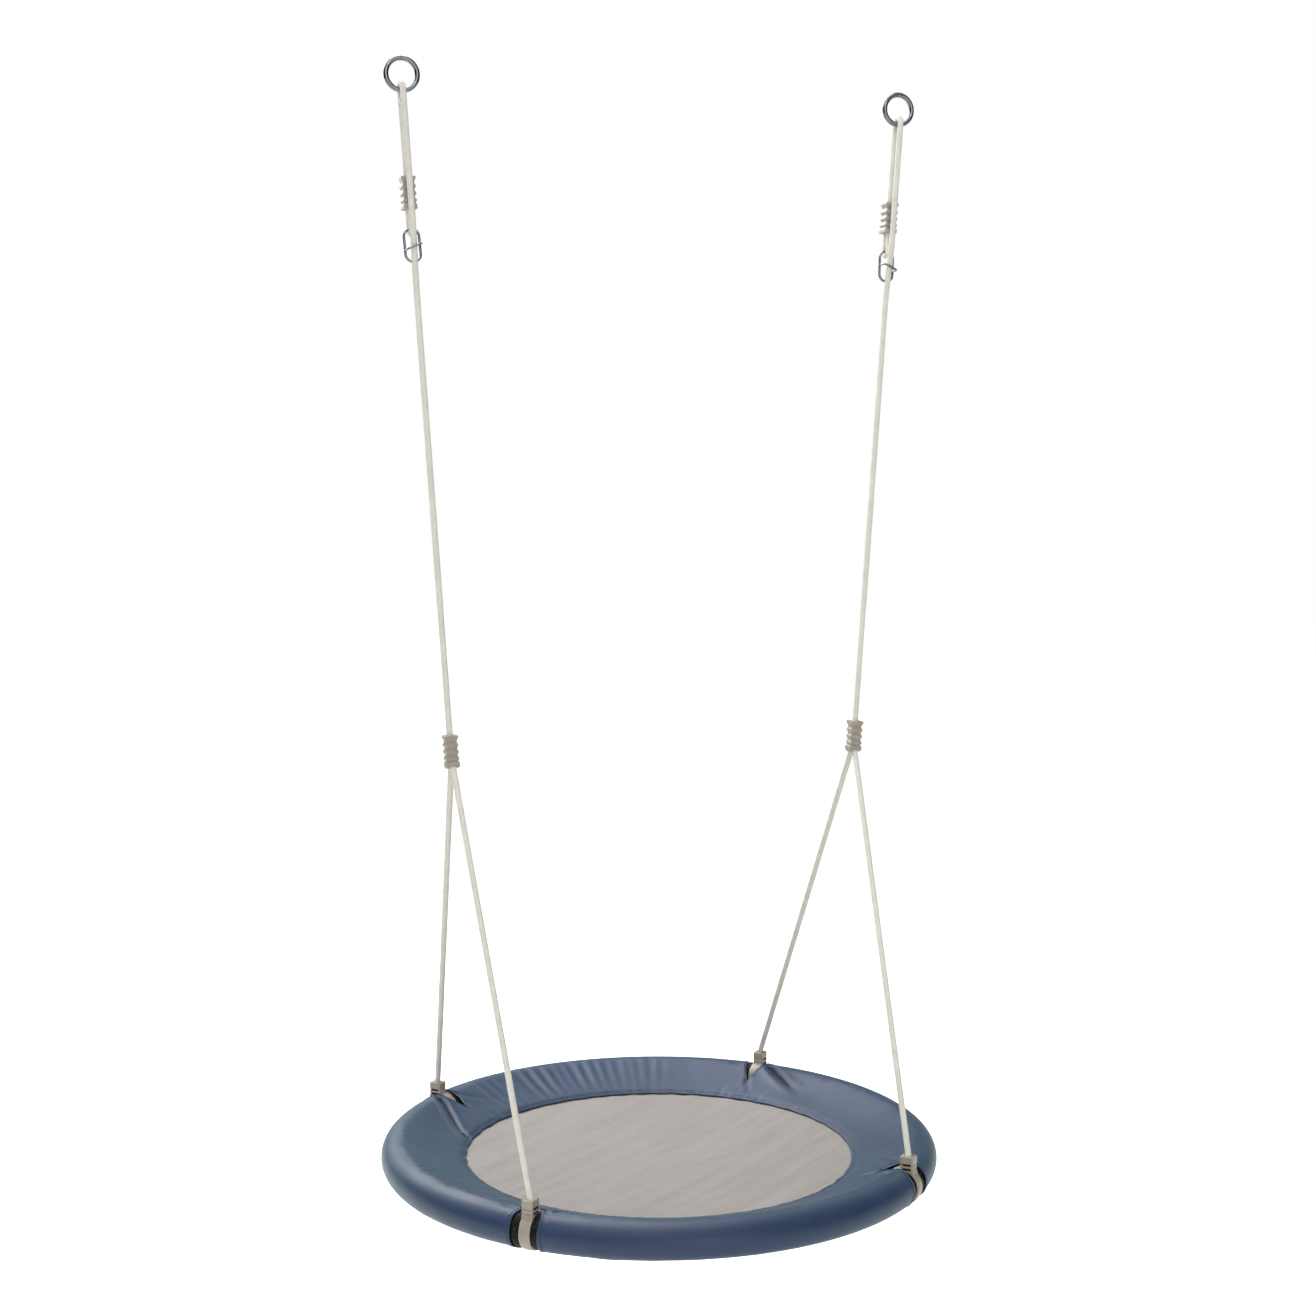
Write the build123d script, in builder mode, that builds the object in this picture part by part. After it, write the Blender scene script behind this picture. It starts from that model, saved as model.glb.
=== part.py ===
from build123d import *
import math
import os

# ---------------------------------------------------------------- dimensions
# Millimetres. +Z up, X runs through the two hanging rings, -Y is the front.
# Origin: the middle of the line between the two ring centres.

# hanging rings
RING_SPACING = 822.0        # centre to centre
RING_WIRE = 8.0             # wire diameter
RING_R = 24.0               # wire centreline radius (40 mm clear hole)

# rope
ROPE_D = 9.6
ROPE_R = ROPE_D / 2

# seat
SEAT_OD = 900.0
COVER_R = 28.6              # radius of the covered rim's section
COVER_T = 1.2
RIM_R = SEAT_OD / 2 - COVER_R   # rim centreline radius, 421.4
RIM_Z = -1688.0             # rim centreline height
TUBE_OD = 32.0
TUBE_WALL = 1.5
SWAGE_OD = 28.6
SWAGE_LEN = 40.0
FOAM_OD = 54.4
FOAM_ID = 32.4
GROOVE_OD = 51.0            # foam diameter under each clip band
MAT_R = 313.8
MAT_T = 1.2
MAT_EDGE_Z = -10.6          # mat edge below the rim centreline
MAT_SAG = 8.0

# clips on the rim
CLIP_PHI = 45.75            # degrees either side of the X axis
CLIP_ENTRY_R = 429.6        # where the rope goes in, from the seat's centre
CLIP_TOP = 48.0             # top of the clip block above the rim centreline
CLIP_W = 18.0               # along the rim
CLIP_D = 22.0               # across the rim
BAND_ID = 51.6
BAND_OD = 57.6

# fork clamp and adjuster
FORK_TOP_Z = -1002.5
FORK_TOP_X = 343.8
BLOCK = 22.0                # side of the ribbed clamp block
APEX_DROP = 36.1            # fork clamp top to the point the two leg ropes aim at
FORK_NOSE = 15.6            # radius of the fork clamp's rounded bottom end
LEG_START = 16.4            # leg rope starts this far from that point
ADJ_TOP = 126.8             # top of the adjuster clamp below the ring's bottom wire
ADJ_LEN = 49.0
ADJ_Y = 9.4                 # adjuster clamp stands behind the front strand
LINK_TOP = 202.4            # top of the wire link below the ring's bottom wire
LINK_H = 54.0
LINK_W = 27.4
LINK_WIRE = 4.0
BAR_S = 232.4               # middle of the link's cross bar
BIGHT_R = RING_WIRE / 2 + ROPE_R + 0.6   # rope round the ring's bottom wire
EYE_R = LINK_WIRE / 2 + ROPE_R + 0.4     # rope round the link's top wire
SWAY_GAP = 1.2              # rope strands start this far under the bight

os.makedirs("parts", exist_ok=True)


def run_length(path):
    return sum(edge.length for edge in path.edges())


def save(builder, label):
    builder.part.label = label
    export_step(builder.part, "parts/" + label + ".step")


# --------------------------------------------------------- hanger line frames
# Each side's ropes hang in a plane that leans outwards going up. That plane is
# the frame of the side: local z runs up the rope, local y is the row's Y.
PZ = -RING_R
SLOPE = (RING_SPACING / 2 - FORK_TOP_X) / (PZ - FORK_TOP_Z)
NORM = math.hypot(1.0, SLOPE)
FORK_S = (PZ - FORK_TOP_Z) * NORM
APEX_S = FORK_S + APEX_DROP


def up_dir(side):
    return Vector(side * SLOPE / NORM, 0, 1 / NORM)


def across_dir(side):
    return Vector(1 / NORM, 0, -side * SLOPE / NORM)


def on_line(side, s, x=0.0, y=0.0):
    """Point s below the ring's bottom wire on one side's line."""
    return (Vector(side * RING_SPACING / 2, 0, PZ) - up_dir(side) * s
            + across_dir(side) * x + Vector(0, y, 0))


def plane_front(side, y=0.0):
    """Sketch plane with x across and y up the rope, looking along +Y."""
    return Plane(origin=on_line(side, 0, 0, y), x_dir=across_dir(side), z_dir=(0, -1, 0))


def plane_side(side, x=0.0):
    """Sketch plane with x along the row's Y and y up the rope."""
    return Plane(origin=on_line(side, 0, x, 0), x_dir=(0, 1, 0), z_dir=across_dir(side))


def plane_cut(side, s, x=0.0, y=0.0):
    """Plane square to the rope."""
    return Plane(origin=on_line(side, s, x, y), x_dir=across_dir(side), z_dir=up_dir(side))


# clip azimuths: left set and right set, front and back
CLIPS = {
    "left_back": 180 - CLIP_PHI,
    "left_front": 180 + CLIP_PHI,
    "right_front": 360 - CLIP_PHI,
    "right_back": CLIP_PHI,
}


def radial_plane(az):
    """Plane through the rim's axis at azimuth az: x outwards, y up."""
    a = math.radians(az)
    return Plane(origin=(0, 0, RIM_Z), x_dir=(math.cos(a), math.sin(a), 0),
                 z_dir=(math.sin(a), -math.cos(a), 0))


def rim_plane(az):
    """The same, with its origin on the rim's centreline."""
    a = math.radians(az)
    return Plane(origin=(RIM_R * math.cos(a), RIM_R * math.sin(a), RIM_Z),
                 x_dir=(math.cos(a), math.sin(a), 0), z_dir=(math.sin(a), -math.cos(a), 0))


def clip_entry(az):
    a = math.radians(az)
    return Vector(CLIP_ENTRY_R * math.cos(a), CLIP_ENTRY_R * math.sin(a), RIM_Z + CLIP_TOP)


# ------------------------------------------------------------- hanging rings
for side, name in ((-1, "left"), (1, "right")):
    with BuildPart() as ring:
        with BuildSketch(Plane(origin=(side * RING_SPACING / 2, 0, 0), x_dir=(1, 0, 0), z_dir=(0, 0, 1))) as s:
            with Locations((RING_R, 0)):
                Circle(RING_WIRE / 2)
        revolve(axis=Axis((side * RING_SPACING / 2, 0, 0), (0, 1, 0)))
    save(ring, "ring_" + name)

# ------------------------------------------------- rope over the ring's wire
for side, name in ((-1, "left"), (1, "right")):
    with BuildPart() as bight:
        with BuildLine(plane_side(side)) as path:
            CenterArc((0, 0), BIGHT_R, 0, 180)
        with BuildSketch(plane_cut(side, 0, 0, BIGHT_R)):
            Circle(ROPE_R)
        sweep()
    save(bight, "rope_bight_" + name)
print("bight arc radius", round(BIGHT_R, 2))

# ------------------------------------------------------------------ main rope
# From just under the ring, down in front of the adjuster clamp, through the
# wire link behind its cross bar, and down to a rounded end in the fork clamp.
BEND_A = LINK_TOP + 6.0
BEND_B = LINK_TOP + LINK_H + 18.0
MAIN_ARC = 0.45 * (BEND_B - BEND_A) / math.tan(math.atan2(BIGHT_R, BEND_B - BEND_A) / 2)
for side, name in ((-1, "left"), (1, "right")):
    with BuildPart() as rope:
        with BuildLine(plane_side(side)) as path:
            FilletPolyline((-BIGHT_R, -SWAY_GAP), (-BIGHT_R, -BEND_A), (0, -BEND_B), (0, -FORK_S - ROPE_R),
                           radius=MAIN_ARC)
        with BuildSketch(plane_cut(side, SWAY_GAP, 0, -BIGHT_R)):
            Circle(ROPE_R)
        sweep()
        fillet(rope.edges().filter_by(GeomType.CIRCLE).sort_by(Axis.Z)[0], radius=ROPE_R - 0.1)
    save(rope, "main_rope_" + name)
    print("main rope", name, "volume", round(rope.part.volume), "section x length",
          round(math.pi * ROPE_R ** 2 * run_length(path)))
print("main rope arc radii", round(MAIN_ARC, 1), round(MAIN_ARC, 1))

# -------------------------------------------------------------- adjuster rope
# The back strand: down into the adjuster clamp, out under it, round the
# link's top wire and back up into the clamp, where its end is held.
WIRE_S = LINK_TOP + LINK_WIRE / 2
IN_Y = ADJ_Y + ROPE_R + 0.05
BACK_Y = ADJ_Y - ROPE_R - 0.05
TAIL_S = ADJ_TOP + 27.0
ADJ_PTS = [
    (ADJ_Y, -SWAY_GAP),
    (ADJ_Y, -(ADJ_TOP - 2.0)),
    (IN_Y, -(ADJ_TOP + 16.0)),
    (IN_Y, -(ADJ_TOP + ADJ_LEN + 2.0)),
    (ADJ_Y + EYE_R, -(WIRE_S - 2.0)),
    (ADJ_Y + EYE_R, -(WIRE_S + EYE_R)),
    (ADJ_Y - EYE_R, -(WIRE_S + EYE_R)),
    (ADJ_Y - EYE_R, -(WIRE_S - 2.0)),
    (BACK_Y, -(ADJ_TOP + ADJ_LEN + 2.0)),
    (BACK_Y, -TAIL_S),
]
ADJ_RADII = [38.0, 38.0, 60.0, 40.0, EYE_R - 0.02, EYE_R - 0.02, 40.0, 60.0]
print("adjuster rope arc radii", [round(r, 1) for r in ADJ_RADII])

for side, name in ((-1, "left"), (1, "right")):
    with BuildPart() as rope:
        with BuildLine(plane_side(side)) as path:
            FilletPolyline(*ADJ_PTS, radius=ADJ_RADII)
        with BuildSketch(plane_cut(side, SWAY_GAP, 0, ADJ_Y)):
            Circle(ROPE_R)
        sweep()
    save(rope, "adjuster_rope_" + name)
    print("adjuster rope", name, "volume", round(rope.part.volume), "section x length",
          round(math.pi * ROPE_R ** 2 * run_length(path)))

# ------------------------------------------------------------ ribbed clamps
# Half width against distance below the top: a flared lip, ribs, a plain foot.
RIBS = [(11.0, 0.0), (11.0, 3.4), (9.3, 9.4), (10.8, 14.2), (10.8, 15.8), (9.3, 20.2), (10.8, 24.8),
        (10.8, 26.4), (9.3, 30.8), (10.8, 35.2), (10.8, 36.8), (9.5, 40.0), (10.8, 41.6)]


def rib_outline(foot, wider=0.0):
    right = [(w + wider, -h) for w, h in RIBS] + [(10.8 + wider, -foot)]
    left = [(-x, y) for x, y in reversed(right)]
    return right + left + [right[0]]


def shift(points, dx, dy):
    return [(x + dx, y + dy) for x, y in points]


for side, name in ((-1, "left"), (1, "right")):
    # the channel that the adjuster rope lies in
    with BuildPart() as channel:
        with BuildLine(plane_side(side)) as path:
            FilletPolyline(*ADJ_PTS, radius=ADJ_RADII)
        with BuildSketch(plane_cut(side, SWAY_GAP, 0, ADJ_Y)):
            Circle(ROPE_R + 0.04)
        sweep()
    for half in ("front", "back"):
        with BuildPart() as clamp:
            with BuildSketch(plane_front(side, ADJ_Y)):
                with BuildLine():
                    Polyline(*shift(rib_outline(ADJ_LEN), 0, -ADJ_TOP))
                make_face()
            extrude(amount=BLOCK, both=True)
            with BuildSketch(plane_side(side)):
                with BuildLine():
                    Polyline(*shift(rib_outline(ADJ_LEN, 1.2), ADJ_Y, -ADJ_TOP))
                make_face()
            extrude(amount=BLOCK, both=True, mode=Mode.INTERSECT)
            fillet(clamp.edges().filter_by(lambda e: abs(e.tangent_at(0.5).dot(up_dir(side))) > 0.99
                                           and e.length > 6.5), radius=1.2)
            add(channel.part, mode=Mode.SUBTRACT)
            # the halves meet on the plane that holds both strands
            split(bisect_by=Plane(origin=on_line(side, 0, 0.0, ADJ_Y), x_dir=(0, 1, 0), z_dir=across_dir(side)),
                  keep=Keep.BOTTOM if half == "front" else Keep.TOP)
        save(clamp, "adjuster_clamp_" + name + "_" + ("outer" if (half == "front") == (side < 0) else "inner"))

for side, name in ((-1, "left"), (1, "right")):
    for half in ("front", "back"):
        with BuildPart() as clamp:
            with BuildSketch(plane_front(side)):
                with BuildLine():
                    Polyline(*shift(rib_outline(APEX_DROP + FORK_NOSE + 2), 0, -FORK_S))
                make_face()
            extrude(amount=BLOCK, both=True)
            corner = APEX_DROP + math.sqrt(FORK_NOSE ** 2 - 10.8 ** 2)
            with BuildSketch(plane_side(side)):
                with BuildLine():
                    right = [(w, -h) for w, h in RIBS] + [(10.8, -corner)]
                    pts = shift(right, 0, -FORK_S)
                    Polyline(*pts)
                    ThreePointArc(pts[-1], (0, -APEX_S - FORK_NOSE), (-pts[-1][0], pts[-1][1]))
                    Polyline(*[(-x, y) for x, y in reversed(pts)], pts[0])
                make_face()
            extrude(amount=BLOCK, both=True, mode=Mode.INTERSECT)
            fillet(clamp.edges().filter_by(lambda e: abs(e.tangent_at(0.5).dot(up_dir(side))) > 0.99
                                           and e.length > 4.5), radius=1.2)
            with Locations(on_line(side, FORK_S)):
                Sphere(ROPE_R + 0.45, mode=Mode.SUBTRACT)
            split(bisect_by=Plane(origin=on_line(side, 0), x_dir=across_dir(side), z_dir=(0, 1, 0)),
                  keep=Keep.BOTTOM if half == "front" else Keep.TOP)
        save(clamp, "fork_clamp_" + name + "_" + half)

# ------------------------------------------------------------- adjuster link
# An oval of bent wire with a cross bar that bows out in front of the rope.
# the bottom wire stands just behind the main rope, which slants through the link
LINK_Y = (ROPE_R + LINK_WIRE / 2 + 0.5
          - BIGHT_R * (BEND_B - (LINK_TOP + LINK_H - LINK_WIRE / 2)) / (BEND_B - BEND_A))
LINK_R = (LINK_W - LINK_WIRE) / 2
BAR_D = 3.2
for side, name in ((-1, "left"), (1, "right")):
    top = -(LINK_TOP + LINK_WIRE / 2 + LINK_R)
    bot = -(LINK_TOP + LINK_H - LINK_WIRE / 2 - LINK_R)
    lean = math.degrees(math.atan2(ADJ_Y - LINK_Y, LINK_H - LINK_WIRE))
    base = on_line(side, LINK_TOP + LINK_H - LINK_WIRE / 2, 0, LINK_Y)
    tilt = (up_dir(side) * math.cos(math.radians(lean)) + Vector(0, 1, 0) * math.sin(math.radians(lean))).normalized()
    oval = Plane(origin=base, x_dir=across_dir(side), z_dir=across_dir(side).cross(tilt))
    straight = LINK_H - LINK_WIRE - 2 * LINK_R
    with BuildPart() as link:
        with BuildLine(oval) as path:
            Line((LINK_R, LINK_R), (LINK_R, LINK_R + straight))
            CenterArc((0, LINK_R + straight), LINK_R, 0, 180)
            Line((-LINK_R, LINK_R + straight), (-LINK_R, LINK_R))
            CenterArc((0, LINK_R), LINK_R, 180, 180)
        with BuildSketch(Plane(origin=oval.from_local_coords(Vector(LINK_R, LINK_R, 0)),
                               x_dir=oval.x_dir, z_dir=oval.y_dir)):
            Circle(LINK_WIRE / 2)
        sweep()
        # cross bar: out of one side wire, across in front of the rope, back to the other
        rope_y = -BIGHT_R * (BEND_B - BAR_S) / (BEND_B - BEND_A)
        front = rope_y - ROPE_R - BAR_D / 2 - 0.5
        back = LINK_Y + (ADJ_Y - LINK_Y) * (LINK_TOP + LINK_H - LINK_WIRE / 2 - BAR_S) / (LINK_H - LINK_WIRE)
        fall = 4.5 * side
        pts = [on_line(side, BAR_S - fall, -LINK_R, back), on_line(side, BAR_S - fall * 0.9, -LINK_R + 0.6, front),
               on_line(side, BAR_S + fall * 0.9, LINK_R - 0.6, front), on_line(side, BAR_S + fall, LINK_R, back)]
        with BuildLine() as bar:
            FilletPolyline(*pts, radius=3.4)
        with BuildSketch(Plane(origin=pts[0], z_dir=(pts[1] - pts[0]))):
            Circle(BAR_D / 2)
        sweep(path=bar.line)
    save(link, "adjuster_link_" + name)

# ----------------------------------------------------------------- leg ropes
for place, az in CLIPS.items():
    side = -1 if place.startswith("left") else 1
    apex = on_line(side, APEX_S)
    entry = clip_entry(az)
    run = entry - apex
    start = apex + run.normalized() * LEG_START
    with BuildPart() as leg:
        with BuildSketch(Plane(origin=start, z_dir=run)):
            Circle(ROPE_R)
        extrude(amount=run.length - LEG_START + ROPE_R)
        fillet(leg.edges().filter_by(GeomType.CIRCLE).sort_by(Axis.Z)[0], radius=ROPE_R - 0.1)
    save(leg, "leg_rope_" + place)
    print("leg rope", place, "straight length", round(run.length - LEG_START, 1))

# --------------------------------------------------------------------- clips
# Two moulded halves that close round the padded rim and grip the leg rope.
PART_X = CLIP_ENTRY_R - RIM_R
for place, az in CLIPS.items():
    side = -1 if place.startswith("left") else 1
    entry = clip_entry(az)
    aim = (on_line(side, APEX_S) - entry).normalized()
    # the right ropes are the open end of the linkage and have room to float
    mouth = ROPE_R + (0.05 if side < 0 else 2.2)
    for half in ("outer", "inner"):
        with BuildPart() as clip:
            with BuildSketch(rim_plane(az)) as s:
                Circle(BAND_OD / 2)
                with Locations((PART_X, (CLIP_TOP + 18) / 2)):
                    Rectangle(CLIP_D, CLIP_TOP - 18)
                Circle(BAND_ID / 2, mode=Mode.SUBTRACT)
            extrude(amount=CLIP_W / 2, both=True)
            # grooves on the two faces that look along the radius
            with BuildSketch(rim_plane(az)):
                for y in (CLIP_TOP - 13.0, CLIP_TOP - 19.5):
                    with Locations((PART_X - CLIP_D / 2, y), (PART_X + CLIP_D / 2, y)):
                        Rectangle(2.0, 2.0)
            extrude(amount=CLIP_W, both=True, mode=Mode.SUBTRACT)
            # snap windows on the two faces that look along the rim
            for t in (-1, 1):
                with BuildSketch(rim_plane(az).offset(t * CLIP_W / 2)):
                    with Locations((PART_X, CLIP_TOP - 12.6), (PART_X, CLIP_TOP - 19.4)):
                        Rectangle(13.6, 3.0)
                extrude(amount=-t * 2.2, mode=Mode.SUBTRACT)
            with Locations(entry):
                Sphere(mouth, mode=Mode.SUBTRACT)
            with BuildSketch(Plane(origin=entry, z_dir=aim)):
                Circle(mouth)
            extrude(amount=20, mode=Mode.SUBTRACT)
            split(bisect_by=Plane(origin=rim_plane(az).from_local_coords(Vector(PART_X, 0, 0)),
                                  z_dir=rim_plane(az).x_dir),
                  keep=Keep.TOP if half == "outer" else Keep.BOTTOM)
        save(clip, "clip_" + place + "_" + half)

# ----------------------------------------------------------------- rim tubes
# Four bent tubes, each with a reduced end that plugs into the next one.
spans = {"back": (CLIPS["right_back"], CLIPS["left_back"]), "left": (CLIPS["left_back"], CLIPS["left_front"]),
         "front": (CLIPS["left_front"], CLIPS["right_front"]), "right": (CLIPS["right_front"], CLIPS["right_back"] + 360)}
swage_deg = math.degrees(SWAGE_LEN / RIM_R)
pin_deg = math.degrees(SWAGE_LEN * 0.5 / RIM_R)
for name, (a0, a1) in spans.items():
    with BuildPart() as tube:
        with BuildSketch(radial_plane(a0)):
            with Locations((RIM_R, 0)):
                Circle(TUBE_OD / 2)
                Circle(TUBE_OD / 2 - TUBE_WALL, mode=Mode.SUBTRACT)
        revolve(axis=Axis.Z, revolution_arc=a1 - a0)
        with BuildSketch(radial_plane(a1 - 0.5)):
            with Locations((RIM_R, 0)):
                Circle(TUBE_OD / 2)
                Circle(SWAGE_OD / 2 - TUBE_WALL, mode=Mode.SUBTRACT)
        revolve(axis=Axis.Z, revolution_arc=0.5)
        with BuildSketch(radial_plane(a1 - 0.2)):
            with Locations((RIM_R, 0)):
                Circle(SWAGE_OD / 2)
                Circle(SWAGE_OD / 2 - TUBE_WALL, mode=Mode.SUBTRACT)
        revolve(axis=Axis.Z, revolution_arc=0.2 + swage_deg)
        # button holes: one in the plain end, one in the reduced end
        for a in (a0 + pin_deg, a1 + pin_deg):
            c, s = math.cos(math.radians(a)), math.sin(math.radians(a))
            with BuildSketch(Plane(origin=(RIM_R * c, RIM_R * s, RIM_Z - 5), z_dir=(0, 0, -1))):
                Circle(3.1)
            extrude(amount=20, mode=Mode.SUBTRACT)
    save(tube, "rim_tube_" + name)

with BuildPart() as buttons:
    for name, (a0, a1) in spans.items():
        c, s = math.cos(math.radians(a0 + pin_deg)), math.sin(math.radians(a0 + pin_deg))
        with BuildSketch(Plane(origin=(RIM_R * c, RIM_R * s, RIM_Z - 10.5), z_dir=(0, 0, -1))):
            Circle(3.0)
        extrude(amount=5.4)
save(buttons, "tube_snap_buttons")

# --------------------------------------------------------------- foam sleeves
groove_deg = math.degrees((CLIP_W / 2 + 1.3) / RIM_R)
for name, (a0, a1) in spans.items():
    with BuildPart() as foam:
        with BuildSketch(radial_plane(a0 + 0.02)):
            with Locations((RIM_R, 0)):
                Circle(GROOVE_OD / 2)
                Circle(FOAM_ID / 2, mode=Mode.SUBTRACT)
        revolve(axis=Axis.Z, revolution_arc=a1 - a0 - 0.04)
        with BuildSketch(radial_plane(a0 + groove_deg)):
            with Locations((RIM_R, 0)):
                Circle(FOAM_OD / 2)
                Circle(FOAM_ID / 2, mode=Mode.SUBTRACT)
        revolve(axis=Axis.Z, revolution_arc=a1 - a0 - 2 * groove_deg)
    save(foam, "foam_sleeve_" + name)

# ---------------------------------------------------------------- rim cover
# A sleeve round the foam whose top and bottom flaps run in to the mat's edge.
TIP_X = MAT_R + 0.2
TIP_HALF = 1.5


def teardrop(r, dx, half):
    """Outline of the covered rim's section: a circle and two tangents to the tip."""
    tip_x = TIP_X - RIM_R + dx
    out = []
    for sgn in (1, -1):
        ty = MAT_EDGE_Z + sgn * half
        d = math.hypot(tip_x, ty)
        base = math.atan2(ty, tip_x)
        off = math.acos(r / d)
        ang = base - sgn * off
        out.append(((tip_x + RIM_R, ty), (r * math.cos(ang) + RIM_R, r * math.sin(ang))))
    return out


with BuildPart() as cover:
    for r, dx, half, how in ((COVER_R, 0.0, TIP_HALF, Mode.ADD), (COVER_R - COVER_T, 3.2, 0.9, Mode.SUBTRACT)):
        (tip_t, tan_t), (tip_b, tan_b) = teardrop(r, dx, half)
        with BuildSketch(radial_plane(0)):
            with BuildLine():
                Line(tip_t, tan_t)
                ThreePointArc(tan_t, (RIM_R + r, 0), tan_b)
                Polyline(tan_b, tip_b, tip_t)
            make_face()
        revolve(axis=Axis.Z, mode=how)
    # a notch for each clip, wide at the outside and running in to a point
    for az in CLIPS.values():
        a = math.radians(az)
        with BuildSketch(Plane(origin=(0, 0, RIM_Z + 60), x_dir=(math.cos(a), math.sin(a), 0), z_dir=(0, 0, 1))):
            with BuildLine():
                Polyline((372, 0), (404, 10.5), (424, 15), (438, 24), (470, 24), (470, -24), (438, -24), (424, -15),
                         (404, -10.5), (372, 0))
            make_face()
        extrude(amount=-120, mode=Mode.SUBTRACT)
save(cover, "rim_cover")

# ----------------------------------------------------------------------- mat
with BuildPart() as mat:
    with BuildSketch(radial_plane(0)):
        with BuildLine():
            radii = [MAT_R * k / 8 for k in range(9)]
            dish = [MAT_EDGE_Z - MAT_SAG * (1 - (r / MAT_R) ** 2) for r in radii]
            upper = [(r, z + MAT_T / 2) for r, z in zip(radii, dish)]
            lower = [(r, z - MAT_T / 2) for r, z in zip(radii, dish)]
            Polyline(*upper, *reversed(lower), upper[0])
        make_face()
    revolve(axis=Axis.Z)
save(mat, "seat_mat")

# webbing sewn round the mat's edge, hidden between the cover's two flaps
with BuildPart() as webbing:
    with BuildSketch(radial_plane(0)):
        with Locations((TIP_X + 14.5, MAT_EDGE_Z + 0.2)):
            Rectangle(16, 1.6)
    revolve(axis=Axis.Z)
save(webbing, "mat_edge_webbing")

print("fork clamp top", [round(v, 2) for v in on_line(-1, FORK_S)], "apex", [round(v, 2) for v in on_line(-1, APEX_S)])
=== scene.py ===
import math

import bmesh
import bpy
import numpy as np
from mathutils import Matrix, Vector


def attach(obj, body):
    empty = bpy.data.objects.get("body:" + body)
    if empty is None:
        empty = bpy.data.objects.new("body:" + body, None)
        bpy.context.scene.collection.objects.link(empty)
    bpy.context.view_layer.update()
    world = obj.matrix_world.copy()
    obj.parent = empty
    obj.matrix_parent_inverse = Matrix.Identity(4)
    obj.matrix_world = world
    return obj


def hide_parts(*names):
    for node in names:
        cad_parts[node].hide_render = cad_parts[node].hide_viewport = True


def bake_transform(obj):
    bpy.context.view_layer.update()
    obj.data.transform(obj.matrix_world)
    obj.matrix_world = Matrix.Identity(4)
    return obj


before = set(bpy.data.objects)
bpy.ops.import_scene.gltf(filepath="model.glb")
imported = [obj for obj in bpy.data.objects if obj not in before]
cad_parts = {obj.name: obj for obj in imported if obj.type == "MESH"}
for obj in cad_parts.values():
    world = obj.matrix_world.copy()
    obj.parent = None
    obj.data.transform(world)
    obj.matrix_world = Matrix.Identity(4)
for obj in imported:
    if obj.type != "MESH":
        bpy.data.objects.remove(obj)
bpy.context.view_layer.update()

MM = 0.001
scene = bpy.context.scene
scene.view_settings.view_transform = "Standard"

# ------------------------------------------------------------------- camera
yaw, pitch, roll = 0.327153, -0.075393, 0.0013057
fwd = Vector((math.sin(yaw) * math.cos(pitch), math.cos(yaw) * math.cos(pitch), math.sin(pitch)))
right = Vector((math.cos(yaw), -math.sin(yaw), 0))
upv = right.cross(fwd)
right2 = right * math.cos(roll) + upv * math.sin(roll)
up2 = upv * math.cos(roll) - right * math.sin(roll)
cam_data = bpy.data.cameras.new("camera")
cam_data.sensor_width = 36.0
cam_data.lens = 54.116
cam_data.clip_start, cam_data.clip_end = 0.05, 60.0
cam = bpy.data.objects.new("camera", cam_data)
scene.collection.objects.link(cam)
cam.matrix_world = Matrix(((right2.x, up2.x, -fwd.x, -1.01891), (right2.y, up2.y, -fwd.y, -2.99466),
                           (right2.z, up2.z, -fwd.z, -0.65098), (0, 0, 0, 1)))
scene.camera = cam

# ------------------------------------------------- dimensions, in millimetres
RING_SPACING, RING_R, RING_WIRE = 822.0, 24.0, 8.0
ROPE_D, ROPE_R = 9.6, 4.8
RIM_R, RIM_Z = 421.4, -1688.0
COVER_R = 28.6
MAT_R, MAT_EDGE_Z, MAT_SAG, MAT_T = 313.8, -10.6, 8.0, 1.2
CLIP_PHI, CLIP_ENTRY_R, CLIP_TOP = 45.75, 429.6, 48.0
FORK_TOP_X, FORK_TOP_Z, APEX_DROP, FORK_NOSE = 343.8, -1002.5, 36.1, 15.6
ADJ_TOP, ADJ_LEN, ADJ_Y = 126.8, 49.0, 9.4
LINK_TOP, LINK_H, LINK_W, LINK_WIRE, BAR_S = 202.4, 54.0, 27.4, 4.0, 232.4
PZ = -RING_R
SLOPE = (RING_SPACING / 2 - FORK_TOP_X) / (PZ - FORK_TOP_Z)
NORM = math.hypot(1.0, SLOPE)
FORK_S = (PZ - FORK_TOP_Z) * NORM
APEX_S = FORK_S + APEX_DROP


def up_dir(side):
    return np.array((side * SLOPE / NORM, 0, 1 / NORM))


def across_dir(side):
    return np.array((1 / NORM, 0, -side * SLOPE / NORM))


def on_line(side, s, x=0.0, y=0.0):
    return (np.array((side * RING_SPACING / 2, 0, PZ)) - up_dir(side) * s + across_dir(side) * x
            + np.array((0, y, 0)))


CLIPS = {"left_back": 180 - CLIP_PHI, "left_front": 180 + CLIP_PHI,
         "right_front": 360 - CLIP_PHI, "right_back": CLIP_PHI}


def clip_entry(az):
    a = math.radians(az)
    return np.array((CLIP_ENTRY_R * math.cos(a), CLIP_ENTRY_R * math.sin(a), RIM_Z + CLIP_TOP))


# ------------------------------------------------------------- mesh helpers
def new_object(name, verts, faces, smooth=True, sharp=None, unit=MM):
    mesh = bpy.data.meshes.new(name)
    mesh.from_pydata((np.asarray(verts, float) * unit).tolist(), [], faces)
    mesh.validate()
    bm = bmesh.new()
    bm.from_mesh(mesh)
    bmesh.ops.recalc_face_normals(bm, faces=bm.faces)
    bm.to_mesh(mesh)
    bm.free()
    if smooth:
        mesh.shade_smooth()
        if sharp:
            mesh.set_sharp_from_angle(angle=math.radians(sharp))
    obj = bpy.data.objects.new(name, mesh)
    scene.collection.objects.link(obj)
    return obj


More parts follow.
